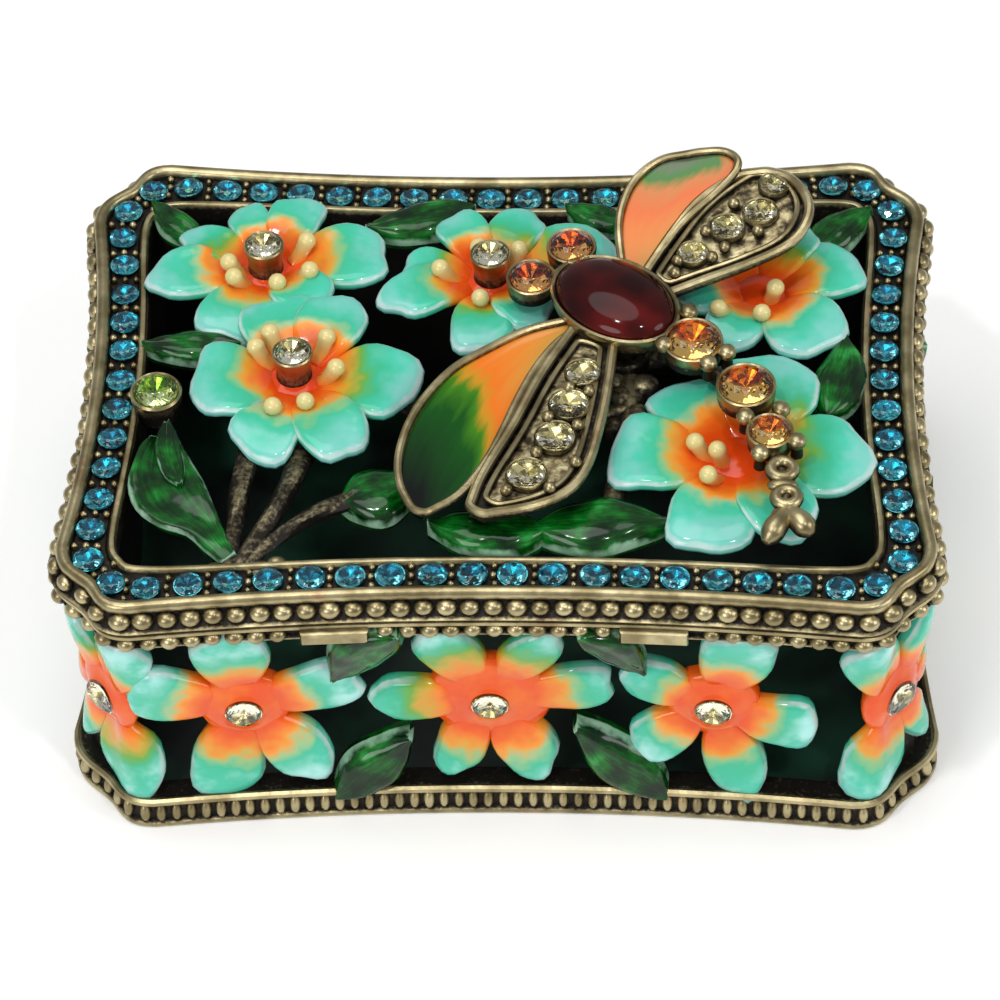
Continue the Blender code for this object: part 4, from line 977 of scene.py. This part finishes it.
def add_pin(shape, foot, head):
    """An enamelled pin with a round head."""
    run = (head - foot).normalized()
    side = run.cross(Vector((0.3, 1, 0))).normalized()
    up = side.cross(run)
    length = (head - foot).length
    sections = [(0.0, PIN_STALK * 1.25, 0.0), (0.2, PIN_STALK, 0.3), (0.6, PIN_STALK, 0.6),
                (1 - PIN_HEAD / length * 0.85, PIN_STALK * 1.05, 0.75)]
    for angle in (-25, 0, 20, 40, 58, 74):
        sections.append((1 + PIN_HEAD * math.sin(math.radians(angle)) / length,
                         PIN_HEAD * math.cos(math.radians(angle)), 1.0))
    rings = []
    for share, radius, reach in sections:
        rings.append([add_point(shape, foot + run * length * share + (side * math.cos(turn) + up * math.sin(turn))
                                * radius, reach=reach) for turn in circle(PIN_SIDES)])
    skin(shape, rings)


pins = new_shape("reach")
for name, heads in flower_pins.items():
    centre, lift, _, _ = lid_flowers[name]
    for x, y in heads:
        head = Vector((x, y, LID_TOP + lift + PIN_RISE))
        foot = Vector((centre[0] + (x - centre[0]) * PIN_FOOT_SHARE, centre[1] + (y - centre[1]) * PIN_FOOT_SHARE,
                       LID_TOP + lift - PIN_SINK))
        add_pin(pins, foot, head)
finish_piece("flower_pins", pins, [pin_enamel], sharp=60)

# Leaves of the lid, as base, tip, width, bow and how strongly the edges wave
lid_leaves = (
    ((-24.4, 14.6), (-28.9, 19.2), 2.8, 0.2, 0.05), ((-20.6, 3.6), (-28.6, 3.6), 3.4, 0.3, 0.05),
    ((-2.6, 18.6), (-11.4, 16.2), 4.4, 0.3, 0.06), ((10.0, 16.4), (4.6, 18.6), 3.2, 0.3, 0.05),
    ((24.3, 13.6), (29.3, 18.2), 3.8, 0.2, 0.06), ((25.4, -4.2), (27.0, 4.4), 4.4, -0.4, 0.06),
    ((4.0, -15.6), (-5.2, -14.9), 4.6, 0.3, 0.08), ((2.8, -15.4), (13.4, -14.8), 5.4, 0.4, 0.07),
    ((-12.0, -12.8), (-5.8, -10.6), 5.6, 0.0, 0.06))
chance = random.Random(40)
leaves_shape = new_shape(*LEAF_VALUES)
on_panel = panel_place((0, 0), 0.0)
for base, tip, width, bow, waves in lid_leaves:
    add_blade(leaves_shape, on_panel, leaf_stations(base, tip, width, bow, waves, chance),
              leaf_surface(-0.15, 0.32, 0.35, 0.07, width), 1.3)

# The leaf at the front left is curled: a broad blade with a hollow down its middle, and a tongue
# folded over it. Both are given by their edges.
curled_left = ((-20.7, -18.6), (-22.2, -17.2), (-23.6, -15.9), (-25.8, -15.1), (-27.7, -13.4), (-28.5, -11.0),
               (-28.2, -8.8), (-27.7, -7.2), (-27.1, -6.5))
curled_right = ((-19.6, -17.8), (-20.4, -16.0), (-21.2, -14.2), (-21.9, -12.4), (-22.7, -10.4), (-23.7, -8.6),
                (-24.5, -7.2), (-25.1, -6.1), (-25.8, -5.6))
tongue_left = ((-24.6, -11.4), (-25.6, -10.6), (-26.4, -8.6), (-26.5, -6.6), (-26.0, -5.5))
tongue_right = ((-24.2, -11.2), (-24.1, -9.8), (-24.5, -7.8), (-25.0, -6.2), (-25.6, -5.2))


def curled_surface(along, across):
    return -0.3 + 0.9 * along * abs(across) ** 1.5 + 0.08 * math.sin(14 * along + 3 * across)


def tongue_surface(along, across):
    return 0.2 + 0.35 * along + 0.35 * abs(across)


for left_points, right_points, surface in ((curled_left, curled_right, curled_surface),
                                           (tongue_left, tongue_right, tongue_surface)):
    stations = list(zip(smooth_path(left_points, 3), smooth_path(right_points, 3)))
    add_blade(leaves_shape, on_panel, stations, surface, 1.1)
finish_enamel("lid_leaves", leaves_shape, leaf_enamel)


# Cut stones. They are round glass stones with a flat table, bevelled facets and a foiled back
# that throws the light out again, set in cups or between small claws.
PAINTED_GLINT_MM = 0.5


def crystal_materials(name, body_colour, foil_glint_colours):
    """Glass of a colour, and the foil behind it, whose colour jumps dark, middling or light from cell to cell as
    painted glints and painted shade of its facets.
    """
    glass, _, _ = new_material(name, {
        "Base Color": body_colour, "Roughness": 0.02, "IOR": 1.55, "Transmission Weight": 1.0})
    foil, tree, shader = new_material(name + "_foil", {"Metallic": 0.9, "Roughness": 0.2})
    place = add_node(tree, "ShaderNodeTexCoord")
    # Painted glints: cells of dark, middling and light foil colour stand in for the sparkle of the foil's facets
    facets = add_node(tree, "ShaderNodeTexVoronoi", {"Scale": 1 / (PAINTED_GLINT_MM * MM)},
                      {"Vector": place.outputs["Object"]}).outputs["Color"]
    tree.links.new(ramp(tree, facets, list(zip((0.34, 0.52, 0.7), foil_glint_colours))), shader.inputs["Base Color"])
    return [glass, foil]


blue_glass = crystal_materials("blue_crystal", "7CDCEA", ("065868", "0C94AC", "84EEF4"))
clear_glass = crystal_materials("clear_crystal", "FBF7DE", ("807850", "DED6A2", "FFFBE4"))
amber_glass = crystal_materials("amber_crystal", "FFD070", ("98540C", "E6921A", "FFD058"))
brown_glass = crystal_materials("brown_crystal", "FFB868", ("5A2408", "B8581C", "F8A050"))
green_glass = crystal_materials("green_crystal", "DCF29C", ("4C6A14", "90B836", "F0FFA0"))
CROWN_SHARE = 0.3
TABLE_SHARE = 0.58
STAR_SHARE = 0.8
STAR_LEVEL = 0.62
GIRDLE_SHARE = 0.08
PAVILION_SHARE = 0.62
FOIL_GAP = 0.02
FOIL_WALL = 0.1


def add_stone(shape, place, radius, sides=8, pavilion=PAVILION_SHARE, turn=0.0):
    """A brilliant cut stone and its foil; place turns (across, up, out) into a point, with 0 out at the girdle."""
    def ring(count, reach, out, offset=0.0):
        return [shape.verts.new(place(reach * math.cos(turn + angle), reach * math.sin(turn + angle), out))
                for angle in circle(count, offset)]

    table = ring(sides, radius * TABLE_SHARE, radius * CROWN_SHARE)
    stars = ring(sides, radius * STAR_SHARE, radius * CROWN_SHARE * STAR_LEVEL, 0.5)
    upper = ring(sides * 2, radius, 0.0)
    lower = ring(sides * 2, radius, -radius * GIRDLE_SHARE)
    culet = shape.verts.new(place(0, 0, -radius * pavilion))
    shape.faces.new(table)
    for index in range(sides):
        after = (index + 1) % sides
        shape.faces.new((table[index], stars[index], table[after]))
        shape.faces.new((table[index], stars[index - 1], upper[2 * index], stars[index]))
        shape.faces.new((stars[index], upper[2 * index], upper[2 * index + 1]))
        shape.faces.new((stars[index], upper[2 * index + 1], upper[(2 * index + 2) % (2 * sides)]))
    bridge(shape, upper, lower)
    for index in range(2 * sides):
        shape.faces.new((lower[index], culet, lower[(index + 1) % (2 * sides)]))
    inner_top = ring(2 * sides, radius + FOIL_GAP, -radius * GIRDLE_SHARE - FOIL_GAP)
    outer_top = ring(2 * sides, radius + FOIL_WALL, -radius * GIRDLE_SHARE - FOIL_GAP)
    inner_tip = shape.verts.new(place(0, 0, -radius * pavilion - FOIL_GAP))
    outer_tip = shape.verts.new(place(0, 0, -radius * pavilion - FOIL_WALL))
    foil_faces = []
    for index in range(2 * sides):
        after = (index + 1) % (2 * sides)
        foil_faces.append(shape.faces.new((inner_top[index], inner_top[after], inner_tip)))
        foil_faces.append(shape.faces.new((outer_top[index], outer_tip, outer_top[after])))
        foil_faces.append(shape.faces.new((inner_top[index], outer_top[index], outer_top[after], inner_top[after])))
    for face in foil_faces:
        face.material_index = 1


def level_place(point, height):
    return lambda across, up, out: Vector((point[0] + across, point[1] + up, height + out))


def set_stone(node, place, across, glass, sides=8, pavilion=PAVILION_SHARE):
    """A stone of its own that stands for a node."""
    stone = new_shape()
    add_stone(stone, place, across / 2, sides, pavilion)
    finish_piece(node + "_cut", stone, glass, [node], flat=True)


CHANNEL_STONE = 2.1
CHANNEL_GIRDLE = 26.12
SHALLOW_PAVILION = 0.32
FLOWER_STONE = 2.7
LID_STONE_OUT = 2.5
WALL_STONE_OUT = 1.35
PERIDOT_STONE = 3.3
chance = random.Random(17)
channel_row = new_shape()
for station in channel_stations([(count + 0.5) / CHANNEL_STONES for count in range(CHANNEL_STONES)]):
    seat = on_rail(station, 0.0, CHANNEL_OUT)
    tilt = (chance.uniform(-0.07, 0.07), chance.uniform(-0.07, 0.07))

    def tilted(across, up, out, seat=seat, tilt=tilt):
        return Vector((seat.x + across, seat.y + up, CHANNEL_GIRDLE + out + across * tilt[0] + up * tilt[1]))

    add_stone(channel_row, tilted, CHANNEL_STONE / 2 + chance.uniform(-0.03, 0.02), pavilion=SHALLOW_PAVILION,
              turn=chance.uniform(0, 0.8))
finish_piece("channel_stones", channel_row, blue_glass, flat=True)
for name, (centre, lift, has_stone, _) in lid_flowers.items():
    if has_stone:
        set_stone("lid_stone_" + name, level_place(centre, LID_TOP + lift + LID_STONE_OUT), FLOWER_STONE, clear_glass)
set_stone("peridot_stone", level_place(PERIDOT_POINT, PERIDOT_GIRDLE), PERIDOT_STONE, green_glass)
for count, (station, _) in enumerate(wall_flowers):
    place = wall_place(station, FLOWER_LEVEL)
    set_stone(f"wall_stone_{count + 1:02d}", lambda across, up, out: place(across, up, out + WALL_STONE_OUT),
              FLOWER_STONE, clear_glass)


# The dragonfly: one casting on a short post. Two wings are enamelled, two are pierced beds for
# clear stones, and the body is an oval dome of dark red enamel with cups for eyes and tail.
BODY_BASE = LID_TOP + 2.3
CUP_TOP = BODY_BASE + 1.6
CABOCHON_POINT = (8.9, 4.6)
CABOCHON_RADIUS = 5.2
CABOCHON_SQUASH = 0.72
BODY_TURN = math.radians(-38)

# Edges of each wing from root to tip, and its heights over the lid at root and tip
wings = {
    "near_enamel": (((5.6, 3.2), (2.2, 2.2), (-0.8, 0.4), (-3.8, -1.9), (-6.3, -5.8), (-7.4, -9.7), (-7.3, -13.1),
                     (-6.2, -15.6)),
                    ((6.6, 2.6), (4.6, 1.0), (2.9, -1.6), (1.6, -4.6), (0.5, -7.8), (-0.8, -11.1), (-2.8, -14.3),
                     (-5.2, -16.0)), 3.0, 2.2),
    "near_crystal": (((6.0, 2.8), (3.3, -2.3), (1.3, -7.3), (-1.1, -12.6), (-1.9, -15.5)),
                     ((8.9, 1.6), (8.4, -4.0), (7.7, -8.5), (6.9, -11.8), (5.6, -14.0), (3.1, -15.4), (-0.8, -16.2)),
                     3.08, 2.3),
    "far_enamel": (((9.6, 7.6), (9.1, 11.8), (9.4, 14.0), (10.4, 16.1), (12.4, 17.6), (14.6, 17.9)),
                   ((11.0, 7.4), (14.0, 11.8), (17.0, 14.5), (18.6, 16.6), (17.6, 17.8), (15.4, 18.0)), 2.96, 6.5),
    "far_crystal": (((11.0, 7.4), (13.4, 11.3), (15.5, 14.0), (18.5, 16.0), (20.0, 16.1)),
                    ((12.2, 5.4), (16.0, 6.6), (19.9, 7.8), (22.9, 9.3), (24.1, 11.6), (23.8, 13.6), (22.4, 15.4),
                     (20.8, 16.1)), 3.2, 6.2)}
WING_STEPS = 26
WING_RIM = 0.42
INNER_RIM = 0.24
INNER_RIM_INSET = 1.0
STONE_BED_SINK = -0.24


def on_wing(name, point, out=0.0):
    """A point on a wing, which rises evenly along its middle line."""
    left, right_edge, root_rise, tip_rise = wings[name]
    root = Vector(left[0]).lerp(Vector(right_edge[0]), 0.5)
    run = Vector(left[-1]).lerp(Vector(right_edge[-1]), 0.5) - root
    share = (Vector(point) - root).dot(run) / run.length_squared
    return Vector((*point, LID_TOP + root_rise + (tip_rise - root_rise) * share + out))


def resample(points, count):
    """Evenly spaced points along a smooth curve."""
    path = smooth_path([(*point, 0.0) for point in points], 8)
    lengths = [0.0]
    for start, end in zip(path, path[1:]):
        lengths.append(lengths[-1] + (end - start).length)
    spaced = []
    place = 0
    for index in range(count + 1):
        target = lengths[-1] * index / count
        while place < len(path) - 2 and lengths[place + 1] < target:
            place += 1
        share = (target - lengths[place]) / (lengths[place + 1] - lengths[place])
        spaced.append(path[place].lerp(path[place + 1], share).to_2d())
    return spaced


def rounded(path):
    """A closed path with its corners cut off twice."""
    for _ in range(2):
        path = [start.lerp(end, share) for start, end in zip(path, path[1:] + path[:1]) for share in (0.25, 0.75)]
    return path


dragonfly_casting = new_shape("wear")
wing_bed = new_shape(*LEAF_VALUES)
stone_bed = new_shape(*LEAF_VALUES)
wing_fields = {}
for name, (left_edge, right_edge, _, _) in wings.items():
    left, right_side = resample(left_edge, WING_STEPS), resample(right_edge, WING_STEPS)
    crystal = name.endswith("crystal")
    rim = rounded([on_wing(name, point) for point in left + right_side[::-1]])
    add_tube(dragonfly_casting, rim, WING_RIM if crystal else WING_RIM * 0.8, 10, 1.0, 0.25, 0.95, closed=True)

    def on_this_wing(across, up, out, name=name):
        return on_wing(name, (across, up), out)

    if crystal:
        inner = []
        for first, second in list(zip(left, right_side))[2:-2]:
            share = min(0.4, INNER_RIM_INSET / (second - first).length)
            inner.append((first.lerp(second, share), second.lerp(first, share)))
        edges = [first for first, _ in inner] + [second for _, second in inner[::-1]]
        inner_rim = rounded([on_wing(name, point) for point in edges])
        add_tube(dragonfly_casting, inner_rim, INNER_RIM, 8, 1.0, 0.1, 0.8, closed=True)
        add_blade(stone_bed, on_this_wing, inner, lambda along, across: STONE_BED_SINK, 0.5)
        field, sink, hollow = wing_bed, -0.4, 0.0
    else:
        field, sink, hollow = new_shape(*LEAF_VALUES), -0.05, 0.25
        wing_fields[name] = field

    def surface(along, across, sink=sink, hollow=hollow):
        return sink - hollow * (1 - across * across)

    add_blade(field, on_this_wing, list(zip(left, right_side)), surface, 0.6)


def wing_enamel_material(name, stops):
    """Enamel whose colours run from the root of a wing to its tip, and thin over its rim."""
    material, tree, shader = new_material(name, {**GLOSSY_ENAMEL, "Roughness": 0.1})
    wisps = streaks(tree, 1.6, 1.4, Scale=1.9, Detail=4.0, Distortion=0.4)
    along = stir(tree, value_of(tree, "along"), wisps, 0.26)
    across = value_of(tree, "across")
    bend = product(tree, across, math_node(tree, "MULTIPLY_ADD", across, -0.1, -0.13))
    colour = ramp(tree, math_node(tree, "ADD", along, bend), stops)
    thin = product(tree, step(tree, value_of(tree, "edge"), 0.86, 1.0), 0.55)
    tree.links.new(blend_colours(tree, thin, colour, "D2A868"), shader.inputs["Base Color"])
    return material


near_wing_enamel = wing_enamel_material("near_wing_enamel", (
    (0.0, "C89A40"), (0.15, "DA8C34"), (0.36, "E4741E"), (0.43, "C08A1E"), (0.5, "3C7A10"), (0.6, "084A0C"),
    (0.78, "06300A"), (0.95, "040B07")))
far_wing_enamel = wing_enamel_material("far_wing_enamel", (
    (0.0, "CC9438"), (0.2, "DE8230"), (0.5, "DE6826"), (0.62, "CC7838"), (0.71, "3A7A2C"), (0.82, "627252"),
    (1.0, "525A52")))
finish_enamel("wing_field_near_enamel", wing_fields["near_enamel"], near_wing_enamel)
finish_enamel("wing_field_far_enamel", wing_fields["far_enamel"], far_wing_enamel)

# The pierced wings: dark metal under the stones, and a lumpy gilt bed between them
wing_bed_metal, tree, shader = new_material("dark_wing_bed", {"Metallic": 0.5, "Roughness": 0.45})
rubbed = grain(tree, 0.7, seed=2.0)
tree.links.new(ramp(tree, rubbed, ((0.42, "15100C"), (0.6, "33291D"), (0.74, "7D6D4C"))), shader.inputs["Base Color"])
add_bump(tree, shader, grain(tree, 0.8, seed=6.0), 0.5, 0.12)
finish_piece("crystal_wing_beds", wing_bed, [wing_bed_metal, painted_shade_backs], sharp=60)
gilt_bed, tree, shader = new_material("gilt_stone_bed", {"Metallic": 0.8, "Roughness": 0.36})
lumps = grain(tree, 0.9, seed=2.0)
tree.links.new(ramp(tree, lumps, ((0.38, "3A3124"), (0.5, "8C7E5C"), (0.62, "BCB088"))), shader.inputs["Base Color"])
add_bump(tree, shader, lumps, 0.7, 0.2)
finish_piece("crystal_stone_beds", stone_bed, [gilt_bed, painted_shade_backs], sharp=60)

plate = CABOCHON_RADIUS + 0.55
add_turned(dragonfly_casting, CABOCHON_POINT, (
    (plate * 0.8, BODY_BASE - 0.1, 0.0), (plate * 0.93, BODY_BASE + 0.1, 0.3), (plate * 0.97, BODY_BASE + 0.8, 0.5),
    (plate, CUP_TOP - 0.25, 0.8), (plate * 0.985, CUP_TOP, 1.0), (plate * 0.95, CUP_TOP + 0.12, 1.0),
    (plate * 0.915, CUP_TOP, 0.6), (plate * 0.9, CUP_TOP - 0.3, 0.1)), 48, CABOCHON_SQUASH, BODY_TURN)
add_turned(dragonfly_casting, MOUNT_POINT, ((1.5, MOUNT_TOP + 0.3, 0.0), (1.5, BODY_BASE + 0.2, 0.2)))

# Cups for the eyes and the tail; tail stones as point, size across and height off the eyes
EYE_STONE = 3.3
CUP_WALL = 0.35
eye_points = {"left": (2.3, 6.9), "right": (5.4, 10.3)}
tail_stones = {"first": ((15.0, 0.2), 4.1, 0.0), "second": ((19.1, -4.3), 4.0, -0.2),
               "third": ((20.9, -8.8), 3.0, -0.4)}


def add_cup(shape, point, stone_radius, foot, top):
    """A round cup whose rim is rolled over its stone; it is hollow down to below the stone's point."""
    wall = stone_radius + CUP_WALL
    add_turned(shape, point, (
        (wall * 0.8, foot, 0.0), (wall * 0.93, foot + 0.25, 0.1), (wall * 0.97, (foot + top) / 2, 0.3),
        (wall, top - 0.2, 0.8), (wall - 0.04, top + 0.03, 1.0), (wall - 0.16, top + 0.1, 1.0),
        (wall - 0.28, top + 0.02, 0.5), (wall - 0.32, top - 0.2, 0.0),
        (0.3, top - stone_radius * PAVILION_SHARE - 0.15, 0.0)), 30)


for point in eye_points.values():
    add_cup(dragonfly_casting, point, EYE_STONE / 2, BODY_BASE - 0.1, CUP_TOP)
for point, across, drop in tail_stones.values():
    add_cup(dragonfly_casting, point, across / 2, BODY_BASE - 0.3 + drop, CUP_TOP + drop)

# Balls on short posts clamp the stones: each is placed by its stone, its direction from that
# stone in degrees, and how far it stands out of the cup
tail_balls = (("first", 96, 0.56), ("first", 192, -0.1), ("first", -26, 0.55), ("first", -64, 0.32),
              ("third", 68, 0.48), ("third", 142, 0.52), ("third", -28, 0.47), ("third", -109, 0.53))
BALL_PROFILE = ((0.5, 0.0, 0.0), (0.42, 0.9, 0.1), (0.5, 1.1, 0.3), (0.7, 1.4, 0.8), (0.72, 1.65, 1.0),
                (0.6, 1.95, 1.0), (0.35, 2.12, 1.0), (0.1, 2.17, 1.0))
for stone, degrees, reach in tail_balls:
    point, across, drop = tail_stones[stone]
    outward = Vector((math.cos(math.radians(degrees)), math.sin(math.radians(degrees))))
    spot = Vector(point) + outward * (across / 2 + CUP_WALL + reach)
    ball = [(radius, BODY_BASE + drop + height, wear) for radius, height, wear in BALL_PROFILE]
    add_turned(dragonfly_casting, spot, ball, 14)

# The tail: a bar under its stones, two rings with a bead each, and a forked end
TAIL_RADIUS = 0.7
RING_RADIUS = 0.5
FORK_ROOT = Vector((22.2, -16.0, 28.9))
FORK_RADII = [0.7, 0.75, 0.8, 0.85, 0.9, 0.93, 0.95, 0.93, 0.85, 0.65, 0.35]
tail_run = ((9.0, 4.4, 2.2), (15.0, 0.2, 1.7), (19.1, -4.3, 1.6), (20.9, -8.8, 1.65), (21.9, -13.0, 2.3),
            (22.2, -16.2, 2.2))
tail_path = smooth_path([(x, y, LID_TOP + z) for x, y, z in tail_run], 6)
add_tube(dragonfly_casting, tail_path, TAIL_RADIUS, 12, 1.0, 0.0, 0.4)
for x, y, reach in ((21.8, -12.2, 1.0), (22.1, -15.0, 0.95)):
    ring = [Vector((x + reach * 0.85 * math.cos(turn), y + reach * 0.8 * math.sin(turn), BODY_BASE + 0.55))
            for turn in circle(20)]
    add_tube(dragonfly_casting, ring, RING_RADIUS, 12, 1.1, 0.1, 1.0, closed=True)
    add_bead(dragonfly_casting, Vector((x, y - 1.35, BODY_BASE + 0.35)), UP, (1.2, 0.6, 0.5), 14)
for tip in (Vector((20.5, -18.9, 28.7)), Vector((24.0, -18.1, 28.7))):
    bend = FORK_ROOT.lerp(tip, 0.5) + Vector((0, -0.1, 0.3))
    add_tube(dragonfly_casting, smooth_path((FORK_ROOT, bend, tip), 5), FORK_RADII, 12, 1.0, 0.2, 1.0)

# Stones of the pierced wings as (x, y, across), and the balls that clamp them
crystal_rows = {"near_crystal": ((6.5, -2.5, 2.5), (5.5, -5.6, 2.9), (4.5, -8.9, 2.9), (2.4, -12.5, 2.9)),
                "far_crystal": ((15.0, 9.0, 2.2), (17.7, 11.1, 2.5), (20.3, 12.2, 2.5), (21.4, 14.65, 2.2))}
wing_balls = {"near_crystal": ((5.5, -4.1), (7.0, -4.5), (3.9, -7.0), (6.2, -7.9), (3.1, -10.5), (6.1, -11.5),
                               (0.9, -14.2), (4.2, -14.0)),
              "far_crystal": ((18.2, 13.1), (16.0, 10.8), (13.8, 8.3), (13.6, 7.2), (17.5, 9.1), (16.5, 8.3),
                              (20.1, 10.3))}
WING_STONE_RISE = 0.4
for name, row in crystal_rows.items():
    for x, y, across in row:
        girdle = on_wing(name, (x, y), WING_STONE_RISE).z
        wall = across / 2 + 0.2
        add_turned(dragonfly_casting, (x, y), (
            (wall * 0.9, girdle - 1.0, 0.0), (wall, girdle - 0.5, 0.2), (wall, girdle - 0.15, 0.7),
            (wall - 0.05, girdle - 0.02, 0.9), (wall - 0.16, girdle - 0.14, 0.2),
            (0.2, girdle - across / 2 * SHALLOW_PAVILION - 0.14, 0.0)), 20)
    for x, y in wing_balls[name]:
        add_bead(dragonfly_casting, on_wing(name, (x, y), 0.35), UP, (0.5, 0.5, 0.55), 12)
finish_piece("dragonfly_casting", dragonfly_casting, [antique_brass], ["dragonfly"])

# The garnet red dome of the body, and the stones of the eyes, tail and pierced wings
garnet, tree, shader = new_material("garnet_enamel", {"Roughness": 0.08, "IOR": 1.5, "Specular IOR Level": 0.2})
tree.links.new(ramp(tree, grain(tree, 3.5, detail=1.0), ((0.35, "220404"), (0.55, "3A0808"), (0.7, "54100E"))),
               shader.inputs["Base Color"])
DOME_RISE = 1.9
DOME_EDGE = math.radians(86)
dome = new_shape("wear")
dome_profile = [(CABOCHON_RADIUS * 0.97, CUP_TOP - 0.3, 0.0)]
for count in range(9):
    angle = DOME_EDGE - math.radians(10 * count)
    height = CUP_TOP - 0.15 + DOME_RISE * (math.cos(angle) - math.cos(DOME_EDGE))
    dome_profile.append((CABOCHON_RADIUS * math.sin(angle), height, 0.0))
add_turned(dome, CABOCHON_POINT, dome_profile, 48, CABOCHON_SQUASH, BODY_TURN)
finish_piece("dragonfly_dome", dome, [garnet], ["dragonfly_cabochon"], sharp=60)
CUP_GIRDLE = CUP_TOP + 0.1
for name, point in eye_points.items():
    set_stone("dragonfly_eye_" + name, level_place(point, CUP_GIRDLE), EYE_STONE, brown_glass)
for name, (point, across, drop) in tail_stones.items():
    set_stone("tail_stone_" + name, level_place(point, CUP_GIRDLE + drop), across, amber_glass, 10)
for name, row in crystal_rows.items():
    for count, (x, y, across) in enumerate(row):
        height = on_wing(name, (x, y)).z + WING_STONE_RISE
        set_stone(f"{name}_stone_{count + 1}", level_place((x, y), height), across, clear_glass,
                  pavilion=SHALLOW_PAVILION)
